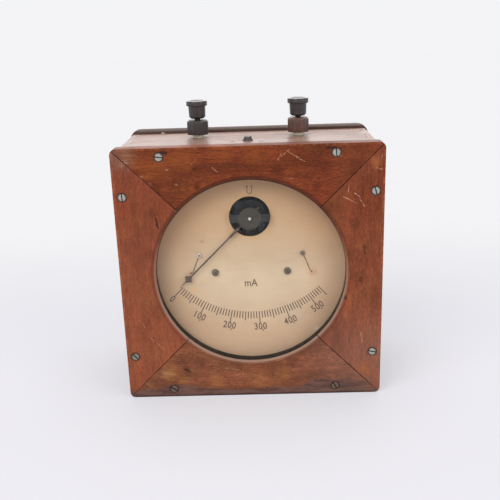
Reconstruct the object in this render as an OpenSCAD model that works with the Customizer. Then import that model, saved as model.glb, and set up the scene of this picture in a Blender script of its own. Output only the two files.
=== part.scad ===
// Moving-coil ammeter in a square wooden case, with a round window and two terminals on top.
// Millimetres. X to the right, Y away from the reader, Z up.
// Modules draw with Y measured as depth behind the front face; placed() then centres the depth.

/* [Front frame] */
// Width of the front frame
frame_w = 200; // [196:1:230]
// Height of the front frame
frame_h = 200; // [196:1:230]
// Thickness of the frame boards
frame_t = 12; // [11:0.5:16]
// Radius of the frame's outer corners
frame_corner_r = 4.5; // [2:0.5:8]
// Radius of the round window behind its bevel
window_r = 72.6; // [60:0.2:76]
// How far the window's centre lies above the frame's centre
window_rise = 2; // [-4:0.5:6]
// Width of the bevel round the window
bevel_w = 3; // [1:0.25:5]
// Depth of the bevel round the window
bevel_d = 2.5; // [1:0.25:4]
// Thickness of the lip in front of the glass
lip_t = 7; // [5:0.25:7.5]
// Hairline between two mitred boards
mitre_gap = 0.2; // [0.1:0.05:0.4]

/* [Case] */
// How far the frame stands out round the case
overhang = 3; // [1:0.5:6]
// Thickness of the case boards
wall_t = 10; // [8:0.5:12]
// Depth of the case boards
case_d = 83; // [78:1:110]
// How far each side of the back board stands out past the front frame
board_stand = 1; // [-2:0.5:6]
// Thickness of the back board, which is also its round edge
board_t = 9; // [6:0.5:9.5]
// Radius of the back board's corners
board_corner_r = 10; // [9.5:0.5:14]
// Distance of the front nails from the front of the case
nail_front = 33; // [22:1:40]
// Distance of the rear nails from the back of the case
nail_rear = 14; // [10:1:30]

/* [Wood screws] */
// Diameter of a frame screw's head
screw_head_d = 7; // [6:0.1:8]
// Diameter of a frame screw's shank
screw_d = 3.6; // [3:0.1:4]
// Length of a frame screw
screw_len = 26; // [18:1:32]
// Distance of a frame screw from the middle of its board
screw_side = 64.4; // [55:0.1:70]
// Gap round a frame screw's head in its countersink
sink_gap = 0.5; // [0.05:0.05:0.8]

/* [Glass] */
// Thickness of the glass
glass_t = 2; // [1.5:0.1:2.5]
// How far the glass laps behind the lip
glass_lap = 4.6; // [3:0.2:5]

/* [Dial] */
// Depth of the dial's face behind the front of the frame
dial_depth = 17; // [16.6:0.1:17.4]
// Radius of the dial plate
dial_r = 81; // [78:0.5:84]
// Thickness of the dial plate
dial_t = 1; // [0.8:0.1:1.2]
// Height of the pivot above the window's centre
pivot_rise = 41.3; // [38:0.1:44]
// Radius of the hole round the pivot
dial_hole_r = 15.8; // [15.7:0.1:18]
// Distance of a dial screw from the middle line
dial_screw_x = 28.2; // [27:0.1:36]
// Distance of the dial screws below the pivot
dial_screw_drop = 44.3; // [40:0.1:50]
// Diameter of a dial screw's head
dial_screw_head_d = 5.6; // [4:0.1:7]

/* [Pointer] */
// Length of the pointer from the pivot to its tip
pointer_len = 80; // [79:0.5:82]
// Angle of the pointer at rest, left of straight down
rest_angle = 45.35; // [44:0.05:45.4]
// Radius of the pointer's thin tube
pointer_r = 0.58; // [0.3:0.02:0.6]
// Radius of the sleeve at the pointer's root
sleeve_r = 1.05; // [0.6:0.05:1.1]
// Length from the pivot to the end of the sleeve
sleeve_len = 21; // [18:0.5:30]
// Width of the lozenge
lozenge_w = 7.4; // [3:0.1:8]
// Length of the lozenge
lozenge_len = 8.6; // [7:0.1:8.8]
// Length of the needle tip beyond the lozenge
tip_len = 6.4; // [5:0.1:6.4]

/* [Stops] */
// Distance of a stop screw from the middle line
stop_screw_x = 40.2; // [38:0.1:42]
// Distance of the stop screws below the pivot
stop_screw_drop = 29.9; // [28:0.1:32]
// Distance from the pivot to a stop wire's upright end
stop_radius = 63; // [58:0.5:63]
// Angle of a stop wire's upright end from straight down
stop_angle = 46.5; // [46.5:0.05:48]
// Diameter of the stop wire
stop_wire_d = 0.7; // [0.5:0.05:0.8]

/* [Magnet] */
// Inner radius of the magnet's bow
magnet_in_r = 24; // [23:0.5:26]
// Width of a magnet limb
magnet_limb = 18; // [16:0.5:20]
// Thickness of the magnet
magnet_t = 16; // [14:0.5:18]
// Depth of the magnet's front behind the front of the frame
magnet_depth = 24; // [24:0.5:26]
// Distance from the pivot down to the centre of the magnet's bow
magnet_drop = 68; // [60:1:72]
// Distance from the pivot up to the ends of the limbs
magnet_top = 18; // [18:0.5:20]

/* [Movement] */
// Radius of the iron core
core_r = 12; // [11:0.1:12.2]
// Radius of the bore between the pole pieces
pole_bore_r = 15; // [14.9:0.1:16]
// Half of the slot between the pole pieces
pole_slot = 6; // [5:0.5:7]
// Inner half width of the coil former
coil_half = 12.7; // [12.5:0.05:12.8]
// Width of the coil
coil_w = 6; // [5:0.25:7]
// Radius of the grey disc on the front bridge
disc_r = 8.6; // [7:0.1:10]
// Thickness of the movement plate
plate_t = 3; // [2:0.5:4]
// Outer radius of a hairspring
spring_r = 7.6; // [6:0.1:8]
// Turns of a hairspring
spring_turns = 3; // [2:0.5:4]

/* [Zero adjuster] */
// Depth of the adjuster behind the front of the frame
adjuster_depth = 45; // [44:0.5:46]
// Diameter of the adjuster's collar
collar_d = 8.4; // [7:0.1:10]
// Offset of the adjuster's pin from its axis
crank = 1.5; // [1:0.1:1.8]
// Length of the zero lever from the pivot
lever_len = 28; // [26:0.5:30]

/* [Terminals] */
// Distance of a terminal from the middle line
terminal_x = 40.3; // [35:0.1:60]
// Depth of the terminals behind the front of the frame
terminal_depth = 68; // [60:0.5:74]
// Diameter of the terminal stud
stud_d = 4.5; // [4:0.1:5]
// Diameter of the brass washer under a terminal
washer_d = 8.6; // [8:0.2:15]
// Width across the flats of the terminal base
base_d = 16.5; // [15:0.1:18]
// Height of the terminal base
base_h = 11.4; // [10:0.1:16]
// Gap between the base and the knob as the terminal stands
knob_gap = 1.3; // [1.2:0.1:3]
// Diameter of the knob's body
knob_d = 13.6; // [12:0.1:15]
// Diameter of the knob's flange
knob_flange_d = 16.6; // [15.5:0.1:18]
// Height of the knob's body below its flange
knob_body_h = 9.8; // [8:0.1:12]
// Height of the knob's flange
knob_flange_h = 4; // [2.5:0.1:5]

/* [Hidden] */
$fn = 96;

// Colours
mahogany = [0.50, 0.25, 0.16];
dark_mahogany = [0.33, 0.19, 0.14];
steel = [0.62, 0.61, 0.58];
brass = [0.80, 0.68, 0.40];
black = [0.10, 0.10, 0.11];
ebonite = [0.20, 0.18, 0.17];
brown_ebonite = [0.36, 0.24, 0.20];
paper = [0.82, 0.72, 0.59];
copper = [0.72, 0.42, 0.26];

// Running fit between a pin and its bore
fit = 0.05;
total_d = frame_t + case_d + board_t;
board_w = frame_w + 2 * board_stand;
board_h = frame_h + board_stand;
case_w = frame_w - 2 * overhang;
case_h = frame_h - 2 * overhang;
case_low = overhang;
case_top_z = frame_h - overhang;
middle_z = frame_h / 2;
window_z = middle_z + window_rise;
pivot_z = window_z + pivot_rise;
rear_d = frame_t + case_d;
rebate_r = window_r + glass_lap + 0.3;
plate_depth = magnet_depth + magnet_t;
plate_back = plate_depth + plate_t;
bow_z = pivot_z - magnet_drop;
magnet_out_r = magnet_in_r + magnet_limb;

// Screws of the frame: board centre lines lie over the case walls
frame_screw_edge = overhang + wall_t * 0.36;
screw_r = screw_d / 2;
head_r = screw_head_d / 2;
head_h = head_r - screw_r + 0.3;
frame_screw_spots = [
    [-screw_side, frame_h - frame_screw_edge, 8], [screw_side, frame_h - frame_screw_edge, 84],
    [-screw_side, frame_screw_edge, 35], [screw_side, frame_screw_edge, 62],
    [-(frame_w / 2 - frame_screw_edge), middle_z + screw_side, 88],
    [-(frame_w / 2 - frame_screw_edge), middle_z - screw_side, 48],
    [frame_w / 2 - frame_screw_edge, middle_z + screw_side, 74],
    [frame_w / 2 - frame_screw_edge, middle_z - screw_side, 12]
];
pilot_len = screw_len - frame_t + 1;

// Screws of the back board: eight into the case walls, four into the movement posts
board_screw_len = 24;
board_screw_side = 60;
wall_mid = overhang + wall_t / 2;
board_edge_spots = [
    [-board_screw_side, frame_h - wall_mid], [board_screw_side, frame_h - wall_mid],
    [-board_screw_side, wall_mid], [board_screw_side, wall_mid],
    [-(frame_w / 2 - wall_mid), middle_z + board_screw_side],
    [-(frame_w / 2 - wall_mid), middle_z - board_screw_side],
    [frame_w / 2 - wall_mid, middle_z + board_screw_side],
    [frame_w / 2 - wall_mid, middle_z - board_screw_side]
];
post_x = 30;
post_top_rise = 14;
post_bottom_drop = 89;
post_r = 4;
post_spots = [
    [-post_x, pivot_z + post_top_rise], [post_x, pivot_z + post_top_rise],
    [-post_x, pivot_z - post_bottom_drop], [post_x, pivot_z - post_bottom_drop]
];

// Nails of the case corners, as distances from the front of the case
nail_r = 0.9;
nail_len = 24;
nail_spots = [nail_front, case_d - nail_rear];

// Dial fastenings
dial_screw_z = pivot_z - dial_screw_drop;
dial_screw_r = 1.4;
dial_screw_head_r = dial_screw_head_d / 2;
dial_screw_head_h = 1.4;
dial_screw_len = 4.5;
pillar_r = 4;
stop_screw_z = pivot_z - stop_screw_drop;
stop_screw_r = 0.8;
stop_head_r = 1.85;
stop_head_h = 0.9;
stop_screw_len = 3;
stop_wire_r = stop_wire_d / 2;
stop_x = stop_radius * sin(stop_angle);
stop_z = pivot_z - stop_radius * cos(stop_angle);

// Depths of the movement, front to back
glass_back = lip_t + glass_t;
disc_front = glass_back + 1.2;
disc_t = 1;
bridge_front = disc_front + disc_t;
bridge_t = 1.4;
pointer_depth = bridge_front + bridge_t + 2.05;
hub_half = 0.55;
front_spring_depth = 17;
spring_h = 1;
coil_front = 19.4;
winding_t = 1;
former_t = 0.6;
coil_back = 44.6;
rear_spring_depth = 45.6;
lever_depth = 47.1;
lever_t = 1;
rear_bar_depth = 49;
rear_bar_t = 2;
boss_r = 3;
staff_r = 0.8;
collet_r = 1.6;
arm_r = 0.5;
tail_len = 11;
side_arm = 8;
// Half the angle of the hollow arc that forms a lozenge side
hollow_arc = 15;
hollow = 0.5 / tan(hollow_arc);

// Front bridge
bridge_half = 3;
bridge_boss_r = 4.5;
bridge_leg_t = 1.6;
bridge_foot = 6;

// Zero adjuster
pin_holes = [-12, 10];
pin_hole_r = 0.8;
shaft_r = 1.8;
pin_r = 0.8;
tab_t = 1.2;
tab_z = pivot_z + lever_len;
shaft_low = tab_z + tab_t + 0.6;

// Terminals, as heights above the case
washer_h = 2.8;
stud_r = stud_d / 2;
base_top = washer_h + base_h;
knob_low = base_top + knob_gap;
knob_r = knob_d / 2;
knob_flange_r = knob_flange_d / 2;
bush_r = 3.6;
bush_h = 8.6;
stud_top = knob_low + 6.6;
stud_low = -wall_t - 11.5;
nut_h = 3.5;

// Shunt spool on the back board
spool_z = 34;
spool_len = 22;
spool_r = 12;
spool_core_r = 5;
spool_wound_r = 10;
lead_r = 0.8;

module placed() {
    translate([0, -total_d / 2, 0]) children();
}

// A round bar along Y between two depths
module rod(x, z, from, to, r, r2 = 0) {
    translate([x, from, z])
        rotate([-90, 0, 0])
            cylinder(h = to - from, r1 = r, r2 = r2 > 0 ? r2 : r);
}

// A flat outline in X and Z, drawn by the children, between two depths
module slab(from, to) {
    translate([0, to, 0])
        rotate([90, 0, 0])
            linear_extrude(to - from) children();
}

module rounded_rect(w, h, r) {
    square([w - 2 * r, h], center = true);
    square([w, h - 2 * r], center = true);
    for (sx = [-1, 1], sz = [-1, 1])
        translate([sx * (w / 2 - r), sz * (h / 2 - r)]) circle(r);
}

// Front frame: four mitred boards, cut from one bored square
module frame_board(outline) {
    placed() difference() {
        intersection() {
            slab(0, frame_t) polygon(outline);
            slab(0, frame_t) translate([0, middle_z]) rounded_rect(frame_w, frame_h, frame_corner_r);
        }
        rod(0, window_z, -1, frame_t + 1, window_r);
        rod(0, window_z, -0.01, bevel_d, window_r + bevel_w, window_r);
        rod(0, window_z, lip_t, frame_t + 1, rebate_r);
        for (s = frame_screw_spots) {
            rod(s[0], s[1], -1, frame_t + 1, screw_r + fit);
            rod(s[0], s[1], -0.01, head_h, head_r + sink_gap, screw_r + fit);
        }
    }
}

half_gap = mitre_gap * 0.707;

module frame_top() {
    color(mahogany) frame_board([
        [-frame_w / 2 + half_gap, frame_h], [frame_w / 2 - half_gap, frame_h], [0, middle_z + half_gap]
    ]);
}

module frame_bottom() {
    color(mahogany) frame_board([
        [-frame_w / 2 + half_gap, 0], [0, middle_z - half_gap], [frame_w / 2 - half_gap, 0]
    ]);
}

module frame_left() {
    color(mahogany) frame_board([
        [-frame_w / 2, half_gap], [-frame_w / 2, frame_h - half_gap], [-half_gap, middle_z]
    ]);
}

module frame_right() {
    color(mahogany) frame_board([
        [frame_w / 2, half_gap], [half_gap, middle_z], [frame_w / 2, frame_h - half_gap]
    ]);
}

// A countersunk wood screw along Y, head at the front, with a slot turned by an angle
module wood_screw(len, slot_angle) {
    difference() {
        union() {
            rod(0, 0, 0.15, head_h, head_r, screw_r);
            rod(0, 0, head_h, len - 4, screw_r);
            rod(0, 0, len - 4, len, screw_r, 0.4);
        }
        rotate([0, slot_angle, 0]) cube([2 * head_r + 1, 1.6, 0.9], center = true);
    }
}

module frame_screws() {
    color(steel) placed()
        for (s = frame_screw_spots) translate([s[0], 0, s[1]]) wood_screw(screw_len, s[2]);
}

// Pilot holes for the frame screws, the back screws and the nails
module case_bores() {
    for (s = frame_screw_spots)
        rod(s[0], s[1], frame_t - 1, frame_t + pilot_len, screw_r + fit);
    for (s = board_edge_spots)
        rod(s[0], s[1], rear_d - board_screw_len + board_t, rear_d + 1, screw_r + fit);
    for (y = nail_spots, sx = [-1, 1])
        translate([sx * (case_w / 2 - wall_t / 2), frame_t + y, 0]) {
            translate([0, 0, case_low - 1]) cylinder(h = nail_len + 1.5, r = nail_r + fit);
            translate([0, 0, case_top_z - nail_len - 0.5]) cylinder(h = nail_len + 1.5, r = nail_r + fit);
        }
}

module case_top() {
    color(mahogany) placed() difference() {
        translate([-case_w / 2, frame_t, case_top_z - wall_t]) cube([case_w, case_d, wall_t]);
        case_bores();
        for (side = [-1, 1])
            translate([side * terminal_x, terminal_depth, case_top_z - wall_t - 1])
                cylinder(h = wall_t + 2, r = stud_r + fit);
        translate([0, adjuster_depth, case_top_z - wall_t - 1])
            cylinder(h = wall_t + 2, r = shaft_r + 0.2);
        for (x = pin_holes)
            translate([x, adjuster_depth - 5, case_top_z - 4]) cylinder(h = 5, r = pin_hole_r);
    }
}

module case_bottom() {
    color(mahogany) placed() difference() {
        translate([-case_w / 2, frame_t, case_low]) cube([case_w, case_d, wall_t]);
        case_bores();
    }
}

module case_side(side) {
    placed() difference() {
        translate([side * (case_w - wall_t) / 2, frame_t + case_d / 2, middle_z])
            cube([wall_t, case_d, case_h - 2 * wall_t], center = true);
        case_bores();
    }
}

module case_left() {
    color(mahogany) case_side(-1);
}

module case_right() {
    color(mahogany) case_side(1);
}

module case_nails() {
    color(black) placed()
        for (y = nail_spots, sx = [-1, 1])
            translate([sx * (case_w / 2 - wall_t / 2), frame_t + y, 0]) {
                translate([0, 0, case_low + 0.2]) cylinder(h = nail_len, r = nail_r);
                translate([0, 0, case_top_z - nail_len - 0.2]) cylinder(h = nail_len, r = nail_r);
            }
}

// Back board: a flat board with round rails along its four edges and round corners between them
module back_board() {
    edge_r = board_t / 2;
    turn_r = board_corner_r - edge_r;
    run_w = board_w - 2 * board_corner_r;
    run_h = board_h - 2 * board_corner_r;
    side_x = board_w / 2 - edge_r;
    side_z = board_h / 2 - edge_r;
    color(dark_mahogany) placed() difference() {
        translate([0, rear_d + edge_r, board_h / 2]) {
            translate([-side_x, -edge_r, -run_h / 2]) cube([2 * side_x, board_t, run_h]);
            translate([-run_w / 2, -edge_r, -side_z]) cube([run_w, board_t, 2 * side_z]);
            for (s = [-1, 1]) {
                translate([-run_w / 2, 0, s * side_z]) rotate([0, 90, 0]) cylinder(h = run_w, r = edge_r);
                translate([s * side_x, 0, -run_h / 2]) cylinder(h = run_h, r = edge_r);
                for (t = [-1, 1]) translate([s * run_w / 2, 0, t * run_h / 2]) {
                    rotate([90, 0, 0]) rotate_extrude() translate([turn_r, 0]) circle(edge_r);
                    rod(0, 0, -edge_r, edge_r, turn_r);
                }
            }
        }
        for (s = concat(board_edge_spots, post_spots)) {
            rod(s[0], s[1], rear_d - 1, rear_d + board_t + 1, screw_r + fit);
            rod(s[0], s[1], rear_d + board_t - head_h, rear_d + board_t + 0.01,
                screw_r + fit, head_r + sink_gap);
        }
    }
}

module back_screws() {
    color(steel) placed()
        for (s = concat(board_edge_spots, post_spots))
            translate([s[0], rear_d + board_t, s[1]])
                rotate([0, 0, 180]) wood_screw(board_screw_len - 1, s[0] + s[1]);
}

// Glass and the ring that holds it in the frame's rebate
module window_glass() {
    color([0.8, 0.9, 0.9, 0.25]) placed()
        rod(0, window_z, lip_t, glass_back, rebate_r - 0.3);
}

module glass_ring() {
    color(black) placed() difference() {
        rod(0, window_z, glass_back, frame_t, rebate_r - 0.15);
        rod(0, window_z, glass_back - 1, frame_t + 1, window_r + 0.6);
    }
}

// Dial: a round plate round the movement, held by two screws on pillars
module scale_plate() {
    color(paper) placed() difference() {
        rod(0, window_z, dial_depth, dial_depth + dial_t, dial_r);
        rod(0, pivot_z, dial_depth - 1, dial_depth + dial_t + 1, dial_hole_r);
        for (side = [-1, 1]) {
            rod(side * dial_screw_x, dial_screw_z, dial_depth - 1, dial_depth + dial_t + 1, dial_screw_r + fit);
            rod(side * stop_screw_x, stop_screw_z, dial_depth - 1, dial_depth + dial_t + 1, stop_screw_r + fit);
        }
    }
}

module dial_pillars() {
    color(brass) placed() for (side = [-1, 1]) difference() {
        rod(side * dial_screw_x, dial_screw_z, dial_depth + dial_t, magnet_depth, pillar_r);
        rod(side * dial_screw_x, dial_screw_z, dial_depth, magnet_depth - 0.8, dial_screw_r + fit);
    }
}

// A cheese-head screw along Y whose head's underside lies at a given depth
module cheese_screw(seat, head_radius, head_height, shank_r, shank_len, slot_angle) {
    difference() {
        union() {
            rod(0, 0, seat - head_height, seat, head_radius);
            rod(0, 0, seat, seat + shank_len, shank_r);
        }
        translate([0, seat - head_height, 0]) rotate([0, slot_angle, 0])
            cube([2 * head_radius + 1, head_height, head_radius * 0.3], center = true);
    }
}

module dial_screws() {
    color(steel) placed()
        for (side = [-1, 1])
            translate([side * dial_screw_x, 0, dial_screw_z])
                cheese_screw(dial_depth, dial_screw_head_r, dial_screw_head_h, dial_screw_r, dial_screw_len, 40 * side);
}

module stop_screws() {
    color(steel) placed()
        for (side = [-1, 1])
            translate([side * stop_screw_x, 0, stop_screw_z])
                cheese_screw(dial_depth - stop_wire_d, stop_head_r, stop_head_h, stop_screw_r, stop_screw_len, 20 * side);
}

// A stop wire: an eye under its screw, a leg along the dial and an upright end for the pointer to meet
module stop_wire(side) {
    eye_r = stop_screw_r + fit + stop_wire_r;
    wire_depth = dial_depth - stop_wire_r;
    dx = stop_x - stop_screw_x;
    dz = stop_z - stop_screw_z;
    leg = sqrt(dx * dx + dz * dz);
    lean = atan2(dx, -dz);
    placed() scale_x(side) {
        translate([stop_screw_x, wire_depth, stop_screw_z]) {
            rotate([90, 0, 0]) rotate_extrude() translate([eye_r, 0]) circle(stop_wire_r);
            rotate([0, -lean, 0]) translate([0, 0, -leg])
                cylinder(h = leg - eye_r + stop_wire_r / 2, r = stop_wire_r);
        }
        translate([stop_x, wire_depth, stop_z]) sphere(stop_wire_r * 1.1);
        rod(stop_x, stop_z, pointer_depth - 1, wire_depth, stop_wire_r);
    }
}

module left_stop_wire() {
    color(brass) stop_wire(-1);
}

module right_stop_wire() {
    color(brass) stop_wire(1);
}

// Magnet: a horseshoe with its bow below and its limbs up
module magnet() {
    limb_h = pivot_z + magnet_top - bow_z;
    color(black) placed() difference() {
        slab(magnet_depth, plate_depth) {
            translate([0, bow_z]) difference() {
                circle(magnet_out_r);
                circle(magnet_in_r);
                translate([-magnet_out_r - 1, 0]) square([2 * magnet_out_r + 2, magnet_out_r + 1]);
            }
            for (x = [-magnet_out_r, magnet_in_r])
                translate([x, bow_z]) square([magnet_limb, limb_h]);
        }
        for (s = magnet_screw_spots) rod(s[0], s[1], magnet_depth - 1, plate_depth + 1, 2 + fit);
    }
}

limb_mid = magnet_in_r + magnet_limb / 2;
magnet_screw_spots = [
    [-limb_mid, pivot_z + 8], [limb_mid, pivot_z + 8],
    [-limb_mid, bow_z + 4], [limb_mid, bow_z + 4]
];

module magnet_screws() {
    color(steel) placed()
        for (s = magnet_screw_spots)
            translate([s[0], 0, s[1]])
                cheese_screw(magnet_depth, 3.6, 2, 2, magnet_t + plate_t, s[1]);
}

pole_screw_x = 20.2;
pole_screw_rise = 14;

module pole(side) {
    outer = magnet_in_r - fit;
    placed() difference() {
        slab(magnet_depth, plate_depth)
            translate([side > 0 ? pole_slot : -outer, pivot_z - magnet_top])
                square([outer - pole_slot, 2 * magnet_top]);
        rod(0, pivot_z, magnet_depth - 1, plate_depth + 1, pole_bore_r);
        for (t = [-1, 1])
            rod(side * pole_screw_x, pivot_z + t * pole_screw_rise, magnet_depth - 1, plate_depth + 1, 1.5 + fit);
    }
}

module left_pole() {
    color(black) pole(-1);
}

module right_pole() {
    color(black) pole(1);
}

module pole_screws() {
    color(steel) placed()
        for (side = [-1, 1], t = [-1, 1])
            translate([side * pole_screw_x, 0, pivot_z + t * pole_screw_rise])
                cheese_screw(magnet_depth, 2.4, 1.5, 1.5, magnet_t + plate_t, 30 * side * t);
}

module iron_core() {
    color(black) placed()
        rod(0, pivot_z, coil_front + winding_t + former_t + 1, coil_back - winding_t - former_t - 1, core_r);
}

// Brass keeper below the core, which ties it to the movement plate
module core_keeper() {
    half = 3.5;
    color(brass) placed() difference() {
        translate([-half, magnet_depth + 2, pivot_z - pole_bore_r - 9])
            cube([2 * half, magnet_t - 2, 12]);
        rod(0, pivot_z, magnet_depth, plate_depth + 1, core_r + fit);
    }
}

module movement_plate() {
    half = magnet_out_r + 4;
    top = pivot_z + post_top_rise + 6;
    low = pivot_z - post_bottom_drop - 6;
    color(brass) placed() difference() {
        translate([-half, plate_depth, low]) cube([2 * half, plate_t, top - low]);
        rod(0, pivot_z, plate_depth - 1, plate_back + 1, pole_bore_r + 2);
        for (s = magnet_screw_spots) rod(s[0], s[1], plate_depth - 1, plate_back + 1, 2 + fit);
        for (side = [-1, 1], t = [-1, 1])
            rod(side * pole_screw_x, pivot_z + t * pole_screw_rise, plate_depth - 1, plate_back + 1, 1.5 + fit);
        for (s = post_spots) rod(s[0], s[1], plate_depth - 1, plate_back + 1, 2.5 + fit);
    }
}

module movement_posts() {
    color(brass) placed() for (s = post_spots) difference() {
        union() {
            rod(s[0], s[1], plate_back, rear_d, post_r);
            rod(s[0], s[1], plate_depth, plate_back, 2.5);
        }
        rod(s[0], s[1], rear_d - board_screw_len + board_t, rear_d + 1, screw_r + fit);
    }
}

// Front bridge: a bar across the dial hole, with legs that step out behind the dial to the poles
module front_bridge() {
    reach = dial_hole_r - 0.6;
    step = dial_depth + dial_t + 0.2;
    step_t = 0.8;
    low = reach + bridge_leg_t - step_t - 0.1;
    color(black) placed() difference() {
        translate([0, 0, pivot_z - bridge_half]) {
            translate([-reach, bridge_front, 0]) cube([2 * reach, bridge_t, 2 * bridge_half]);
            rod(0, bridge_half, bridge_front, bridge_front + bridge_t, bridge_boss_r);
            for (side = [-1, 1]) scale_x(side) {
                translate([reach - bridge_leg_t, bridge_front, 0])
                    cube([bridge_leg_t, step + step_t - bridge_front, 2 * bridge_half]);
                translate([reach - bridge_leg_t, step, 0])
                    cube([low + 2 * bridge_leg_t - reach, step_t, 2 * bridge_half]);
                translate([low, step, 0]) cube([bridge_leg_t, magnet_depth - step, 2 * bridge_half]);
                translate([low, magnet_depth - bridge_t, 0])
                    cube([bridge_foot, bridge_t, 2 * bridge_half]);
            }
        }
        rod(0, pivot_z, bridge_front - 1, bridge_front + bridge_t + 1, 1.5 + fit);
    }
}

// The children as drawn for a side of 1, or mirrored for a side of -1
module scale_x(side) {
    mirror([side < 0 ? 1 : 0, 0, 0]) children();
}

module bridge_disc() {
    color(steel) placed() difference() {
        rod(0, pivot_z, disc_front, bridge_front, disc_r);
        rod(0, pivot_z, disc_front - 1, bridge_front + 1, 1.5 + fit);
    }
}

// A jewel screw along Y: slotted outside, cupped inside for the staff's pivot
module front_jewel_screw() {
    color(brass) placed() difference() {
        rod(0, pivot_z, disc_front - 0.5, pointer_depth - hub_half - 0.5, 1.5);
        rod(0, pivot_z, pointer_depth - hub_half - 1.5, pointer_depth, 0.5);
        translate([0, disc_front - 0.5, pivot_z]) rotate([0, -38, 0]) cube([4, 0.9, 0.55], center = true);
    }
}

module rear_bridge() {
    half = 5;
    leg_in = pole_bore_r + 2.5;
    leg_t = 4;
    color(black) placed() difference() {
        union() {
            translate([-leg_in - leg_t, rear_bar_depth, pivot_z - half])
                cube([2 * (leg_in + leg_t), rear_bar_t, 2 * half]);
            for (side = [-1, 1])
                translate([side > 0 ? leg_in : -leg_in - leg_t, plate_back, pivot_z - half])
                    cube([leg_t, rear_bar_depth - plate_back, 2 * half]);
            rod(0, pivot_z, lever_depth - 0.2, rear_bar_depth, boss_r);
        }
        rod(0, pivot_z, lever_depth - 1, rear_bar_depth + rear_bar_t + 1, 1.9 + fit);
    }
}

module rear_jewel_screw() {
    color(brass) placed() difference() {
        rod(0, pivot_z, lever_depth - 0.2, rear_bar_depth + rear_bar_t + 1.5, 1.9);
        rod(0, pivot_z, lever_depth - 1, lever_depth + 1.2, 0.5);
        translate([0, rear_bar_depth + rear_bar_t + 1.5, pivot_z]) cube([5, 1.4, 0.6], center = true);
    }
}

// A flat spiral spring in X and Z, from the collet out to its stud
function spiral(r_in, r_out, turns, side) = let (steps = 22 * turns)
    [for (i = [0:steps]) let (a = 90 - 360 * turns * (1 - i / steps), r = r_in + (r_out - r_in) * i / steps + side)
        [r * cos(a), r * sin(a)]];

module hairspring(depth) {
    half_t = 0.15;
    outer = spiral(collet_r + 0.35, spring_r, spring_turns, half_t);
    inner = spiral(collet_r + 0.35, spring_r, spring_turns, -half_t);
    last = len(inner) - 1;
    slab(depth, depth + spring_h) translate([0, pivot_z])
        polygon(concat(outer, [for (i = [0:last]) inner[last - i]]));
}

module front_hairspring() {
    core_front = coil_front + winding_t + former_t + 1;
    color(brass) placed() {
        hairspring(front_spring_depth);
        rod(0, pivot_z + spring_r + 0.4, front_spring_depth, core_front, 0.5);
    }
}

module rear_hairspring() {
    color(brass) placed() {
        hairspring(rear_spring_depth);
        rod(0, pivot_z + spring_r + 0.4, rear_spring_depth, lever_depth, 0.5);
    }
}

// What turns with the pointer is drawn with the pointer straight down, then turned to rest
module at_rest() {
    placed() translate([0, 0, pivot_z]) rotate([0, rest_angle, 0]) children();
}

module coil_ring(in_half, t, front, back, w) {
    difference() {
        translate([-in_half - t, front, -w / 2]) cube([2 * (in_half + t), back - front, w]);
        translate([-in_half, front + t, -w]) cube([2 * in_half, back - front - 2 * t, 2 * w]);
    }
}

module coil_former() {
    color(steel) at_rest()
        coil_ring(coil_half, former_t, coil_front + winding_t, coil_back - winding_t, coil_w + 0.6);
}

module coil_winding() {
    color(copper) at_rest()
        coil_ring(coil_half + former_t, winding_t, coil_front, coil_back, coil_w);
}

module coil_staffs() {
    hub_front = pointer_depth - hub_half;
    color(steel) at_rest() {
        rod(0, 0, hub_front - 0.9, hub_front, 0.35);
        rod(0, 0, hub_front, coil_front, staff_r);
        rod(0, 0, front_spring_depth, front_spring_depth + spring_h, collet_r);
        rod(0, 0, coil_front - 0.7, coil_front, 2.4);
        rod(0, 0, coil_back, coil_back + 0.7, 2.4);
        rod(0, 0, coil_back, lever_depth - 0.4, staff_r);
        rod(0, 0, rear_spring_depth, rear_spring_depth + spring_h, collet_r);
        rod(0, 0, lever_depth - 0.4, lever_depth + 0.7, 0.35);
    }
}

// Pointer: hub, sleeve, thin tube, lozenge and needle tip, with arms for the balance weights
module pointer() {
    half_w = lozenge_w / 2;
    half_l = lozenge_len / 2;
    loz_mid = pointer_len - tip_len - half_l;
    overlap = half_l / 3;
    color(black) at_rest() {
        difference() {
            union() {
                rod(0, 0, pointer_depth - hub_half, pointer_depth + hub_half, 2);
                translate([0, pointer_depth, 0]) {
                    translate([0, 0, -sleeve_len]) cylinder(h = sleeve_len - 1.2, r = hub_half);
                    cylinder(h = tail_len, r = arm_r);
                    rotate([0, 90, 0]) translate([0, 0, -side_arm]) cylinder(h = 2 * side_arm, r = arm_r);
                }
            }
            rod(0, 0, pointer_depth - 2, pointer_depth + 2, staff_r + fit);
        }
        translate([0, pointer_depth, 0]) {
            translate([0, 0, -sleeve_len]) cylinder(h = 9, r = sleeve_r);
            translate([0, 0, -sleeve_len - 1.6]) cylinder(h = 1.6, r1 = pointer_r, r2 = sleeve_r);
            translate([0, 0, -loz_mid + half_l - overlap])
                cylinder(h = loz_mid - half_l + overlap - sleeve_len, r = pointer_r);
            translate([0, 0, -pointer_len]) cylinder(h = tip_len + overlap, r1 = 0.15, r2 = 0.42);
        }
        slab(pointer_depth - 0.2, pointer_depth + 0.2) translate([0, -loz_mid]) difference() {
            polygon([[0, half_l], [half_w, 0], [0, -half_l], [-half_w, 0]]);
            for (sx = [-1, 1], sz = [-1, 1])
                translate([sx * (half_w / 2 + hollow * half_l), sz * (half_l / 2 + hollow * half_w)])
                    circle(norm([half_w, half_l]) / 2 / sin(hollow_arc));
        }
    }
}

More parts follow.
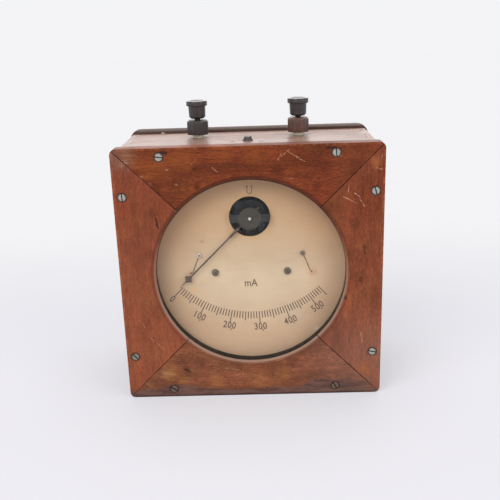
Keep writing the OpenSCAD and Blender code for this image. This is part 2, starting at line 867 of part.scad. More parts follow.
module balance_weights() {
    color(brass) at_rest() translate([0, pointer_depth, 0]) {
        difference() {
            translate([0, 0, tail_len - 3]) cylinder(h = 2.6, r = 1.5);
            translate([0, 0, tail_len - 4]) cylinder(h = 5, r = arm_r + fit);
        }
        for (sx = [-1, 1]) difference() {
            rotate([0, sx * 90, 0]) translate([0, 0, side_arm - 2.4]) cylinder(h = 2, r = 1.2);
            rotate([0, sx * 90, 0]) translate([0, 0, side_arm - 3]) cylinder(h = 4, r = arm_r + fit);
        }
    }
}

// Zero lever: a hub on the rear bridge's boss, an arm, and a slotted tab for the adjuster's pin
module zero_lever() {
    slot_y = adjuster_depth - crank;
    tab_front = slot_y - 2;
    color(brass) placed() difference() {
        union() {
            rod(0, pivot_z, lever_depth, lever_depth + lever_t, boss_r + 2.2);
            translate([-1.5, lever_depth, pivot_z]) cube([3, lever_t, lever_len + tab_t]);
            translate([-3.5, tab_front, tab_z]) cube([7, lever_depth + lever_t - tab_front, tab_t]);
        }
        rod(0, pivot_z, lever_depth - 1, lever_depth + lever_t + 1, boss_r + fit);
        translate([0, slot_y + 0.3, tab_z]) cube([2 * pin_r + 0.4, 3.2, 4], center = true);
    }
}

// Zero adjuster: slotted two-lobed head, shaft through the case top, and a cranked pin
module zero_adjuster() {
    head_low = case_top_z + 1.2;
    color(black) placed() translate([0, adjuster_depth, 0]) {
        translate([0, 0, shaft_low]) cylinder(h = head_low - shaft_low, r = shaft_r);
        translate([0, 0, case_top_z - wall_t - 1.7]) cylinder(h = 1.5, r = 2.9);
        translate([0, 0, shaft_low]) cylinder(h = 1.5, r = crank + pin_r + 0.3);
        translate([0, -crank, tab_z - 0.8]) cylinder(h = shaft_low - tab_z + 0.8, r = pin_r);
        difference() {
            translate([0, 0, head_low]) cylinder(h = 2, r1 = 3.3, r2 = 2.7);
            translate([-5, -0.4, head_low + 0.8]) cube([10, 0.8, 2]);
        }
    }
}

module zero_collar() {
    color(black) placed() translate([0, adjuster_depth, case_top_z]) difference() {
        cylinder(h = 1.15, r1 = collar_d / 2, r2 = collar_d / 2 - 0.5);
        translate([0, 0, -1]) cylinder(h = 4, r = shaft_r + fit);
    }
}

// Terminals
module at_terminal(side) {
    placed() translate([side * terminal_x, terminal_depth, case_top_z]) children();
}

module terminal_washer(side) {
    color(brass) at_terminal(side) difference() {
        cylinder(h = washer_h, r = washer_d / 2);
        translate([0, 0, -1]) cylinder(h = washer_h + 2, r = stud_r + fit);
    }
}

// Eight-sided base with a turned chamfer at its top
module terminal_base(side) {
    corner_r = base_d / 2 / cos(22.5);
    at_terminal(side) translate([0, 0, washer_h]) difference() {
        intersection() {
            rotate([0, 0, 22.5]) cylinder(h = base_h, r = corner_r, $fn = 8);
            rotate_extrude() polygon([
                [0, 0], [corner_r - 0.5, 0], [corner_r + 0.1, 0.6], [corner_r + 0.1, base_h - 1.6],
                [corner_r - 1.9, base_h], [0, base_h]
            ]);
        }
        translate([0, 0, -1]) cylinder(h = base_h + 2, r = stud_r + fit);
    }
}

module terminal_stud(side) {
    color(brass) at_terminal(side)
        translate([0, 0, stud_low]) cylinder(h = stud_top - stud_low, r = stud_r);
}

module terminal_bush(side) {
    color(brass) at_terminal(side) translate([0, 0, knob_low + 0.2]) difference() {
        cylinder(h = bush_h, r = bush_r);
        translate([0, 0, -1]) cylinder(h = bush_h + 2, r = stud_r + fit);
    }
}

// Turned knob: chamfered foot, body, flange and a shallow dish in its top
module terminal_knob(side) {
    top = knob_body_h + knob_flange_h;
    color(ebonite) at_terminal(side) translate([0, 0, knob_low])
        rotate_extrude() polygon([
            [bush_r + fit, 0], [knob_r - 1.6, 0], [knob_r - 0.3, 1.2], [knob_r, knob_body_h - 0.6],
            [knob_r, knob_body_h], [knob_flange_r - 0.3, knob_body_h], [knob_flange_r, knob_body_h + 0.3],
            [knob_flange_r, top - 0.5], [knob_flange_r - 0.5, top], [knob_flange_r - 2, top],
            [knob_flange_r - 3, top - 0.5], [0, top - 0.5],
            [0, bush_h + 0.6], [bush_r + fit, bush_h + 0.6]
        ]);
}

module terminal_nut(side) {
    color(brass) at_terminal(side) translate([0, 0, -wall_t - nut_h]) difference() {
        cylinder(h = nut_h, r = 4.6, $fn = 6);
        translate([0, 0, -1]) cylinder(h = nut_h + 2, r = stud_r + fit);
    }
}

module left_washer() {
    terminal_washer(-1);
}

module left_base() {
    color(ebonite) terminal_base(-1);
}

module left_stud() {
    terminal_stud(-1);
}

module left_bush() {
    terminal_bush(-1);
}

module left_knob() {
    terminal_knob(-1);
}

module left_nut() {
    terminal_nut(-1);
}

module right_washer() {
    terminal_washer(1);
}

module right_base() {
    color(brown_ebonite) terminal_base(1);
}

module right_stud() {
    terminal_stud(1);
}

module right_bush() {
    terminal_bush(1);
}

module right_knob() {
    terminal_knob(1);
}

module right_nut() {
    terminal_nut(1);
}

// Shunt spool, lying along Y against the back board
module shunt_bobbin() {
    color(black) placed() {
        rod(0, spool_z, rear_d - spool_len, rear_d, spool_core_r);
        rod(0, spool_z, rear_d - spool_len, rear_d - spool_len + 2, spool_r);
        rod(0, spool_z, rear_d - 2, rear_d, spool_r);
    }
}

module shunt_winding() {
    color(copper) placed() difference() {
        rod(0, spool_z, rear_d - spool_len + 2, rear_d - 2, spool_wound_r);
        rod(0, spool_z, rear_d - spool_len, rear_d, spool_core_r);
    }
}

// A lead from the foot of a stud, down beside the movement and across to the spool
module lead(side) {
    top = case_top_z + stud_low;
    across = rear_d - spool_len / 2;
    bend_r = lead_r * 1.1;
    placed() {
        translate([side * terminal_x, terminal_depth, spool_z]) cylinder(h = top - spool_z, r = lead_r);
        translate([side * terminal_x, terminal_depth, spool_z]) sphere(bend_r);
        rod(side * terminal_x, spool_z, terminal_depth, across, lead_r);
        translate([side * terminal_x, across, spool_z]) sphere(bend_r);
        translate([side * spool_wound_r, across, spool_z])
            rotate([0, side * 90, 0]) cylinder(h = terminal_x - spool_wound_r, r = lead_r);
    }
}

module left_lead() {
    color(ebonite) lead(-1);
}

module right_lead() {
    color(ebonite) lead(1);
}

frame_top();
frame_bottom();
frame_left();
frame_right();
frame_screws();
case_top();
case_bottom();
case_left();
case_right();
case_nails();
back_board();
back_screws();
window_glass();
glass_ring();
scale_plate();
dial_pillars();
dial_screws();
stop_screws();
left_stop_wire();
right_stop_wire();
magnet();
magnet_screws();
left_pole();
right_pole();
pole_screws();
iron_core();
core_keeper();
movement_plate();
movement_posts();
front_bridge();
bridge_disc();
front_jewel_screw();
rear_bridge();
rear_jewel_screw();
front_hairspring();
rear_hairspring();
coil_former();
coil_winding();
coil_staffs();
pointer();
balance_weights();
zero_lever();
zero_adjuster();
zero_collar();
left_washer();
left_base();
left_stud();
left_bush();
left_knob();
left_nut();
right_washer();
right_base();
right_stud();
right_bush();
right_knob();
right_nut();
shunt_bobbin();
shunt_winding();
left_lead();
right_lead();
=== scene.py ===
"""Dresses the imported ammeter: mahogany, ebonite, brass, steel, paper and glass, with its printed scale."""

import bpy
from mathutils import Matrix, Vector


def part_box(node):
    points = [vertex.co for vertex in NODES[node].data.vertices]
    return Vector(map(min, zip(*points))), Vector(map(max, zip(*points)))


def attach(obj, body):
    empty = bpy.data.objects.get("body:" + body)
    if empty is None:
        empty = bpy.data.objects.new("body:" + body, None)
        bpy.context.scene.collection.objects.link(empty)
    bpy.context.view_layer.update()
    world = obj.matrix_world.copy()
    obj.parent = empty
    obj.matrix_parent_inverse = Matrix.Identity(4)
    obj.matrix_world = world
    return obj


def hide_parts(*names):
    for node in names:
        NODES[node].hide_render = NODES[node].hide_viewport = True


bl_info = {
    "name": "Ammeter",
    "version": (1, 0, 0),
    "blender": (4, 5, 0),
    "location": "3D View > Sidebar > Ammeter",
    "description": "Finishes the wooden ammeter and prints its scale",
    "category": "Object",
}

from math import cos, pi, radians, sin

import bmesh
import bpy
from mathutils import Euler, Matrix, Vector

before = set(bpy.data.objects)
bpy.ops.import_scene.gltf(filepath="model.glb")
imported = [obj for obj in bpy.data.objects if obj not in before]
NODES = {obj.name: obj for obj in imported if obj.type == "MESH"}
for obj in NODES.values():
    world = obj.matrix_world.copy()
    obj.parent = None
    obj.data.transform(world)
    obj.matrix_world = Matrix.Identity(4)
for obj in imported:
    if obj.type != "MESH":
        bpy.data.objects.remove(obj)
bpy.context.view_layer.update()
MM = 0.001

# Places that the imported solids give, in metres
FACE_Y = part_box("frame_top")[0].y
GLASS_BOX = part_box("window_glass")
WINDOW = Vector(((GLASS_BOX[0].x + GLASS_BOX[1].x) / 2, 0, (GLASS_BOX[0].z + GLASS_BOX[1].z) / 2))
DISC_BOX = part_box("bridge_disc")
PIVOT = Vector((0, 0, (DISC_BOX[0].z + DISC_BOX[1].z) / 2))
DIAL_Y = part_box("scale_plate")[0].y
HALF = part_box("frame_top")[1].z / 2
BACK_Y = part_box("back_board")[0].y

WINDOW_RADIUS = 72.8 * MM
# The two front screws of each corner, in millimetres from the middle of the frame
CORNER_SCREWS = ((64.4, 93.4), (93.4, 64.4))
# Height of the case's top board, in millimetres
CASE_TOP = 197
BACKDROP = (0.905, 0.905, 0.925)


def length(name, description, millimetres):
    return bpy.props.FloatProperty(name=name, description=description, default=millimetres * MM, unit="LENGTH")


def angle(name, description, degrees):
    return bpy.props.FloatProperty(
        name=name, description=description, default=radians(degrees), subtype="ANGLE")


def colour(name, description, value):
    return bpy.props.FloatVectorProperty(
        name=name, description=description, subtype="COLOR", size=3, min=0, max=1, default=value)


class MeterSizes(bpy.types.PropertyGroup):
    board_round: length("Board edge", "Radius worn onto the front boards", 1.1)
    metal_round: length("Metal edge", "Radius on screws and small brass pieces", 0.12)
    ebonite_round: length("Ebonite edge", "Radius on the terminals", 0.45)
    scale_radius: length("Scale radius", "From the pivot to the divisions", 78)
    short_line: length("Short line", "Length of a plain division", 5.9)
    middle_line: length("Middle line", "Length of every fifth division", 7.6)
    long_line: length("Long line", "Length of every tenth division", 10.1)
    line_width: length("Line width", "Width of a division", 0.8)
    first_angle: angle("Zero angle", "Angle of the zero division from straight down", -44)
    division_angle: angle("Division angle", "Angle between two divisions, before the bend", 1.6266)
    division_bend: angle("Division bend", "Change of that angle with each division", -0.0011)
    divisions: bpy.props.IntProperty(
        name="Divisions", description="Number of divisions on the scale", default=55, min=10)
    number_radius: length("Number radius", "From the pivot to the numbers", 90.9)
    number_height: length("Number height", "Height of the numbers", 5.9)
    ink_height: length("Ink height", "Thickness of the print on the paper", 0.03)


class MeterColours(bpy.types.PropertyGroup):
    top_wood: colour("Top board", "Middle tone of the top front board", (0.172, 0.036, 0.0105))
    bottom_wood: colour("Bottom board", "Middle tone of the bottom front board", (0.225, 0.072, 0.034))
    left_wood: colour("Left board", "Middle tone of the left front board", (0.245, 0.066, 0.03))
    right_wood: colour("Right board", "Middle tone of the right front board", (0.222, 0.058, 0.024))
    case_wood: colour("Case wood", "Middle tone of the case boards", (0.205, 0.088, 0.048))
    back_wood: colour("Back board", "Middle tone of the dark back board", (0.075, 0.03, 0.022))
    paper: colour("Paper", "Middle of the dial", (0.627, 0.451, 0.299))
    paper_rim: colour("Paper rim", "Rim of the dial", (0.54, 0.315, 0.181))
    ink: colour("Ink", "Scale lines and numbers", (0.115, 0.073, 0.05))
    ebonite: colour("Ebonite", "Grey-black ebonite", (0.024, 0.018, 0.016))
    brown_ebonite: colour("Brown ebonite", "Ebonite that has faded to brown", (0.092, 0.04, 0.028))
    steel: colour("Steel", "Screw heads", (0.42, 0.41, 0.38))
    brass: colour("Brass", "Pale lacquered brass", (0.66, 0.5, 0.23))
    iron: colour("Iron", "Blackened iron and magnet steel", (0.022, 0.026, 0.031))
    lacquer: colour("Lacquer", "Black lacquer", (0.018, 0.018, 0.02))
    pointer: colour("Pointer", "Brown-black pointer", (0.092, 0.062, 0.049))
    copper: colour("Copper", "Enamelled copper wire of the shunt", (0.4, 0.13, 0.06))
    coil: colour("Coil", "Black-varnished wire of the coil", (0.022, 0.022, 0.026))
    stud: colour("Stud", "Brass that has blackened in use", (0.05, 0.042, 0.035))
    floor: colour("Floor", "Floor and backdrop", (0.665, 0.655, 0.69))


def at(x, z):
    """A point of the front from X and Z in millimetres."""
    return x * MM, 0, z * MM


class Value:
    """One output of a node; arithmetic on it adds further nodes to its tree."""

    def __init__(self, tree, socket):
        self.tree = tree
        self.socket = socket

    def __add__(self, other):
        return self.tree.maths("ADD", self, other)

    def __sub__(self, other):
        return self.tree.maths("SUBTRACT", self, other)

    def __rsub__(self, other):
        return self.tree.maths("SUBTRACT", other, self)

    def __mul__(self, other):
        return self.tree.maths("MULTIPLY", self, other)

    def __abs__(self):
        return self.tree.maths("ABSOLUTE", self)

    def ease(self, low, high, start=0, end=1):
        """Eases from start to end while the value goes from low to high."""
        return self.tree.add("ShaderNodeMapRange", {
            "Value": self, "From Min": low, "From Max": high, "To Min": start, "To Max": end},
            interpolation_type="SMOOTHSTEP")

    def ease_mm(self, low, high, start=0, end=1):
        return self.ease(low * MM, high * MM, start, end)


class Tree:
    """A node tree built by short calls, each of which returns an output of the new node."""

    def __init__(self, tree):
        self.tree = tree

    def put(self, socket, value):
        if isinstance(value, (Value, bpy.types.NodeSocket)):
            self.tree.links.new(getattr(value, "socket", value), socket)
        elif hasattr(socket.default_value, "__len__") and len(socket.default_value) == 4 and len(value) == 3:
            socket.default_value = (*value, 1)
        else:
            socket.default_value = value

    def add(self, kind, inputs=(), output=0, **settings):
        node = self.tree.nodes.new(kind)
        for key, value in settings.items():
            setattr(node, key, value)
        for key, value in dict(inputs).items():
            self.put(node.inputs[key], value)
        return Value(self, node.outputs[output])

    def maths(self, operation, a, b=0, clamp=False):
        return self.add("ShaderNodeMath", {0: a, 1: b}, operation=operation, use_clamp=clamp)

    def point(self, x=0, y=0, z=0):
        return self.add("ShaderNodeCombineXYZ", {0: x, 1: y, 2: z})

    def ray(self, kind):
        return self.add("ShaderNodeLightPath", output=kind)

    def seen(self):
        """1 for what the camera sees, also in gloss and through glass, and 0 for what lights the object."""
        mirrored = self.maths("MAXIMUM", self.ray("Is Glossy Ray"), self.ray("Is Transmission Ray"))
        return self.maths("MAXIMUM", self.ray("Is Camera Ray"), mirrored)

    def show(self, output, share, first, second):
        """Sends a mix of two shaders to the tree's output."""
        both = self.add("ShaderNodeMixShader", {0: share, 1: first, 2: second})
        self.put(self.tree.nodes[output].inputs["Surface"], both)


class Finish(Tree):
    """A material on object coordinates, whose colour is laid on in layers."""

    def __init__(self, name, tint=(1, 1, 1)):
        self.material = bpy.data.materials.new(name)
        self.material.use_nodes = True
        super().__init__(self.material.node_tree)
        self.surface = self.tree.nodes["Principled BSDF"]
        self.tint = tint
        self.place = self.add("ShaderNodeTexCoord", output="Object")
        parts = self.add("ShaderNodeSeparateXYZ", {0: self.place}).socket.node.outputs
        self.x, self.y, self.z = (Value(self, part) for part in parts)
        # Without its depth, so that a mark runs straight through a board
        self.flat = self.vector("MULTIPLY", self.place, (1, 0, 1))

    def shine(self, **values):
        """Sets the surface's values, with the laid colour as its base colour."""
        for key, value in dict(values, Base_Color=self.tint).items():
            self.put(self.surface.inputs[key.replace("_", " ")], value)
        return self.material

    def vector(self, operation, a, b=(0, 0, 0)):
        output = "Value" if operation in {"LENGTH", "DISTANCE", "DOT_PRODUCT"} else "Vector"
        return self.add("ShaderNodeVectorMath", {0: a, 1: b}, output, operation=operation)

    def scaled(self, vector, factor):
        return self.add("ShaderNodeVectorMath", {0: vector, "Scale": factor}, operation="SCALE")

    def stretch(self, scale, move=(0, 0, 0), at=None):
        return self.add("ShaderNodeMapping", {"Vector": at or self.place, "Location": move, "Scale": scale})

    def noise(self, scale, detail=3, roughness=0.55, distortion=0, at=None):
        return self.add("ShaderNodeTexNoise", {
            "Vector": at or self.place, "Scale": scale, "Detail": detail,
            "Roughness": roughness, "Distortion": distortion}, "Fac")

    def wander(self, scale, detail, reach):
        """A small length either side of nought that makes the edges of marks ragged."""
        return (self.noise(scale, detail) - 0.5) * reach

    def mix(self, share, a, b, blend="MIX"):
        return self.add("ShaderNodeMix", {0: share, 6: a, 7: b}, 2,
                        data_type="RGBA", blend_type=blend, clamp_factor=True)

    def lay(self, share, tone, blend="MIX"):
        """Covers the colour so far with another tone, in the given share."""
        self.tint = self.mix(share, self.tint, tone, blend)

    def ramp(self, value, stops):
        result = self.add("ShaderNodeValToRGB", {0: value})
        elements = result.socket.node.color_ramp.elements
        while len(elements) < len(stops):
            elements.new(0.5)
        for element, (position, tone) in zip(elements, stops):
            element.position = position
            element.color = (*tone, 1)
        return result

    def distance(self, point):
        """How far the surface is from a point, seen from the front."""
        return self.vector("DISTANCE", self.flat, point)

    def spot(self, x, z, radius, soft, ragged):
        """A round mark at X and Z in millimetres, 1 inside and 0 outside."""
        reach = self.distance(at(x, z)) + ragged
        return reach.ease_mm(radius - soft, radius + soft, 1, 0)

    def marks(self, places, soft, ragged, share, tone):
        """Lays round marks, each X, Z and radius, that are soft over a share of their radius."""
        for x, z, radius in places:
            self.lay(self.spot(x, z, radius, radius * soft, ragged) * share, tone)

    def line(self, start, end, width, ragged):
        """A scratch from start to end, both X and Z in millimetres."""
        run = Vector(at(*end)) - Vector(at(*start))
        offset = self.vector("SUBTRACT", self.flat, at(*start))
        share = self.maths("MULTIPLY", self.vector("DOT_PRODUCT", offset, run[:]), 1 / run.length_squared, clamp=True)
        reach = self.vector("DISTANCE", offset, self.scaled(run[:], share)) + ragged
        return reach.ease_mm(0.3 * width, width, 1, 0)

    def bump(self, height, strength, distance):
        normal = self.add("ShaderNodeBump", {"Strength": strength, "Distance": distance, "Height": height})
        self.put(self.surface.inputs["Normal"], normal)


def shade(tone, factor, warm=0):
    """A tone made darker or lighter, and warmer or cooler."""
    return (min(1, tone[0] * factor * (1 + warm)), min(1, tone[1] * factor), min(1, tone[2] * factor * (1 - warm)))


def times(tone, *factors):
    """A tone with a factor for each of its channels."""
    return tuple(channel * factor for channel, factor in zip(tone, factors))


def wood_tones(finish, tone, along, seed, contrast):
    """Lays the grain of a board that runs along X or Z, and returns its clouds and streaks."""
    across = 9
    scale = (1, across, across) if along == "x" else (across, across, 1)
    bend = finish.scaled((0.006, 0.006, 0.006), finish.noise(14, 2))
    grain = finish.stretch(scale, (seed, seed * 1.7, seed * 0.6), finish.vector("ADD", finish.place, bend))
    broad = finish.noise(13, 4, distortion=0.8, at=grain)
    streak = finish.noise(95, 6, 0.75, at=grain)
    pores = finish.noise(330, 2, 0.7, at=grain)
    cloud = finish.noise(30, 5, 0.6, at=finish.stretch((1, 1, 1), (seed * 3, 0, seed)))
    warm = finish.noise(21, 4, at=finish.stretch((1, 1, 1), (seed, 0, seed * 5)))
    finish.tint = finish.ramp(broad * 0.45 + streak * 0.55, [
        (0.34, shade(tone, 1 - 0.5 * contrast)), (0.47, shade(tone, 1 - 0.14 * contrast, 0.02)),
        (0.53, shade(tone, 1 + 0.12 * contrast, 0.02)), (0.66, shade(tone, 1 + 0.55 * contrast, 0.04))])
    gold = warm.ease(0.46, 0.68, 0, 0.75 * contrast) * streak.ease(0.36, 0.58, 0.35, 1)
    finish.lay(gold, times(tone, 1.12, 1.55, 1.25))
    finish.lay(cloud.ease(0.46, 0.66, 0, 0.62 * contrast), shade(tone, 0.5, -0.05))
    finish.lay(pores.ease(0.52, 0.62, 0, 0.85 * contrast), shade(tone, 0.4))
    finish.lay(pores.ease(0.3, 0.42, 0.55 * contrast, 0), shade(tone, 1.7, -0.02))
    finish.bump(pores * -0.6 + streak * 0.4, 0.35, 0.25 * MM)
    return cloud, streak


# Grain of the four front boards: its seed and its contrast
GRAIN = {"top": (0.31, 1), "bottom": (1.73, 1), "left": (2.41, 0.6), "right": (3.19, 0.8)}
# Marks of the front boards, X and Z in millimetres from the middle of the foot, then the radius or width.
# Dark cracks and gouges run between two points
CRACKS = {
    "top": [((-62, 196.9), (-58.8, 196.4), 1.9), ((57.6, 197), (62.4, 197.1), 1.3)],
    "bottom": [((-54.5, 23.5), (-52, 22.4), 1.2)],
    "left": [((-69.6, 147.8), (-68.7, 145.2), 0.9), ((-68.7, 145.2), (-69.2, 143.2), 0.7),
             ((-69.2, 143.2), (-68.1, 140.5), 1), ((-78, 52), (-76.5, 47), 0.5)],
    "right": [((85.6, 121), (86.4, 116), 0.7), ((71.4, 82.5), (73, 80), 0.8)],
}
DENTS = {
    "top": [(-38.3, 184.2, 1.9), (-37, 171, 1.6), (50.2, 169.2, 3), (22, 181, 4.5), (-67, 168, 3), (80, 180, 8)],
    "bottom": [(-53.4, 23.2, 3.4), (-58, 30, 4.5), (-40, 27, 2), (30, 28, 4)],
    "left": [(-77, 120, 4), (-72, 152, 3)],
    "right": [(71.5, 81, 1.6), (86, 122, 1.5), (83, 96, 1.4), (79, 140, 3.5)],
}
WORN = {
    "top": [(-20, 197, 7), (5, 193, 6), (-46, 192, 8), (-89, 196.5, 5.5), (-81, 190, 5.5), (-72, 182, 5),
            (-62, 188, 9)],
    "bottom": [(-65.5, 20, 6), (-56, 13.5, 4.5), (6, 14, 6), (22, 17, 5), (-30, 12, 5)],
    "left": [],
    "right": [(72.5, 66.2, 1.5), (93, 186, 4), (88, 20, 5)],
}
SCRATCHES = {
    "top": [((27.3, 196.5), (38.7, 188.6)), ((24.3, 191.2), (30.9, 197.3)), ((22, 189), (24.5, 193.5)),
            ((34, 192.5), (41.5, 187.4)), ((-41, 187.6), (-38, 189.4)), ((66, 196), (67.5, 190.5)),
            ((27, 176), (34, 175.2)), ((-26, 185), (-22, 181.5))],
    "bottom": [((-22, 24), (-12, 22.5)), ((30, 21), (36, 22.5)), ((-15, 18), (-8, 19))],
    "left": [((-80, 51.6), (-69.7, 41.1)), ((-86, 66), (-84, 60))],
    "right": [((69.9, 160.6), (79.7, 155.4)), ((77.6, 163.3), (82.2, 159.9)), ((81.4, 159), (85.5, 152.7)),
              ((73.6, 168), (72.8, 163.1)), ((97.6, 192.1), (96.9, 187.7)), ((84, 52), (85.5, 44)),
              ((92.9, 181.6), (97.6, 180.2))],
}
# Pale scuffs along the mitre of the top and left boards
SCUFFS = [(-91.3, 188.7, 1.6), (-88.3, 191.5, 1.3), (-77.7, 179.1, 1.4), (-71.8, 174.1, 1.3), (-52.7, 172.8, 0.8),
          (-59.1, 183.7, 0.7), (-58.3, 178.5, 0.6), (-55, 153, 0.7)]
# Upper edge of the stain: share of the board's length, and share of the stain's greatest height
STAIN_EDGE = [(0, 0.3), (1, 0.62), (0.12, 0.52), (0.22, 0.6), (0.32, 0.42), (0.5, 0.34), (0.58, 0.46),
              (0.66, 0.34), (0.74, 0.74), (0.84, 0.78), (0.93, 0.66)]
STAIN_HEIGHT = 17 * MM
BOARD_LENGTH = 200 * MM


def lay_stain(finish, streak, ragged):
    """The damp stain along the foot of the bottom board, and the yellow patch near its left end."""
    edge = finish.add("ShaderNodeFloatCurve", {"Value": (finish.x + BOARD_LENGTH / 2) * (1 / BOARD_LENGTH)})
    points = edge.socket.node.mapping.curves[0].points
    for point, place in zip(points, STAIN_EDGE[:2]):
        point.location = place
    for place in STAIN_EDGE[2:]:
        points.new(*place)
    over = finish.z + finish.wander(110, 3, 0.006) - edge * STAIN_HEIGHT
    stain = over.ease_mm(-2, 1.2, 0.88, 0) * finish.x.ease(0.075, 0.098, 1, 0.35)
    banks = finish.noise(230, 4, at=finish.stretch((0.22, 1, 1)))
    finish.lay(stain, finish.mix(banks.ease(0.4, 0.62), (0.135, 0.073, 0.059), (0.074, 0.04, 0.034)))
    patch = finish.spot(-68.7, 20.5, 4.2, 3, ragged) * streak.ease(0.36, 0.62, 0.1, 0.75)
    finish.lay(patch, (0.36, 0.19, 0.07))


def lay_window(finish, tone):
    """The dark wall of the window, a pale grey band on its bevel that is strongest at the bottom, painted shadow along
    the top of the bevel, and the rubbing round its edge.
    """
    radius = finish.distance((WINDOW.x, 0, WINDOW.z))
    wall = radius.ease(WINDOW_RADIUS, WINDOW_RADIUS + 0.2 * MM, 1, 0)
    wall = wall * finish.y.ease(FACE_Y + 2.4 * MM, FACE_Y + 2.9 * MM)
    finish.lay(wall, (0.02, 0.014, 0.012))
    bevel = 1 - wall
    band = radius.ease_mm(73.8, 74.4, 0.75, 0) * finish.z.ease(0.07, 0.16, 1, 0.15)
    finish.lay(band * bevel, (0.3, 0.2, 0.145))
    # Painted shadow on the upper part of the bevel, which faces down
    shadow = radius.ease(WINDOW_RADIUS, WINDOW_RADIUS + 3.4 * MM, 1, 0) * finish.z.ease(0.105, 0.15, 0, 0.75)
    finish.lay(shadow * bevel, (0.05, 0.022, 0.016))
    rub = radius.ease_mm(75.1, 75.5) * radius.ease_mm(75.7, 76.4, 1, 0)
    finish.lay(rub * 0.6, shade(tone, 0.4))


def screw_distances(finish):
    """Distances from the two screws of a corner, with the four corners folded onto one."""
    folded = finish.point(abs(finish.x), 0, abs(finish.z - HALF))
    return [finish.vector("DISTANCE", folded, at(*screw)) for screw in CORNER_SCREWS]


def lay_edges(finish, tone, ragged):
    """Rubbed outer edges, a dark sole, dirt in the open mitres, and dirt with painted shade round the screws."""
    wide, tall = abs(finish.x), abs(finish.z - HALF)
    rubbed = finish.maths("MAXIMUM", wide, tall).ease(HALF - 2.2 * MM, HALF - 0.9 * MM)
    rubbed = rubbed * ragged.ease(0, 0.6 * MM, 0, 0.38)
    rubbed = rubbed * finish.y.ease(FACE_Y + 1.2 * MM, FACE_Y + 2.6 * MM, 1, 0)
    finish.lay(rubbed * finish.z.ease_mm(4, 14), times(tone, 1.8, 2.6, 2.6))
    finish.lay(finish.z.ease_mm(0.5, 2.2, 0.7, 0), (0.035, 0.022, 0.02))
    gap = abs(wide - tall) + ragged * 0.06
    mitre = gap.ease_mm(0.28, 0.8, 0.95, 0) * finish.z.ease_mm(5, 13, 0.4, 1)
    finish.lay(mitre * finish.noise(75).ease(0.36, 0.58, 0.4, 1), (0.022, 0.01, 0.006))
    # Dirt and painted shade on the wood in the gap round each screw head
    for reach in screw_distances(finish):
        finish.lay(reach.ease_mm(3.4, 4.1, 0.6, 0), shade(tone, 0.22))


def front_board_finish(side, colours):
    """Mahogany of one front board, with its own dents, worn places, scratches and stains."""
    finish = Finish("front_mahogany_" + side)
    seed, contrast = GRAIN[side]
    tone = getattr(colours, side + "_wood")
    upright = side in {"left", "right"}
    cloud, streak = wood_tones(finish, tone, "z" if upright else "x", seed, contrast)
    if upright:
        finish.lay(finish.z.ease(0.118, 0.158, 0, 0.9), (0.78, 0.66, 0.6), "MULTIPLY")
    if side == "top":
        finish.lay(finish.x.ease(0.03, 0.075, 0, 0.85), (0.91, 0.82, 1.02), "MULTIPLY")
    dust = finish.x.ease(0.02, 0.09, 0, 0.13) * finish.z.ease(0.03, 0.09, 1, 0)
    finish.lay(dust, (0.32, 0.27, 0.24))
    ragged = finish.wander(320, 4, 0.006)
    finish.marks(WORN[side], 0.9, ragged, streak.ease(0.38, 0.6, 0.15, 0.65), times(tone, 1.55, 1.85, 1.3))
    for dent in DENTS[side]:
        finish.marks([dent], 0.8, ragged, 0.8 if dent[2] < 2 else 0.45, shade(tone, 0.3))
    if side == "bottom":
        lay_stain(finish, streak, ragged)
    if side == "left":
        damp = (finish.z + ragged * 0.6).ease_mm(3, 8, 0.7, 0)
        finish.lay(damp, (0.085, 0.045, 0.036))
    finish.lay(finish.noise(900, 1).ease(0.69, 0.74, 0, 0.5), shade(tone, 2.1, -0.05))
    broken = finish.noise(620, 2).ease(0.38, 0.6, 0.2, 0.85)
    bent = ragged * 0.12
    width, bare_wood = (0.38, (0.54, 0.29, 0.175)) if side == "right" else (0.3, (0.46, 0.23, 0.13))
    for start, end in SCRATCHES[side]:
        finish.lay(finish.line(start, end, width, bent) * broken, bare_wood)
    if side in {"top", "left"}:
        finish.marks(SCUFFS, 0.9, ragged, streak.ease(0.4, 0.6, 0.05, 0.6), (0.36, 0.2, 0.125))
        grey = finish.spot(-92, 195, 9, 7, ragged) * streak.ease(0.36, 0.6, 0.15, 0.55)
        finish.lay(grey, (0.215, 0.135, 0.098))
    for start, end, width in CRACKS[side]:
        finish.lay(finish.line(start, end, width, ragged * 0.3) * 0.85, (0.025, 0.012, 0.009))
    lay_window(finish, tone)
    lay_edges(finish, tone, ragged)
    return finish.shine(Roughness=cloud.ease(0.3, 0.8, 0.42, 0.62), Specular_IOR_Level=0.14)


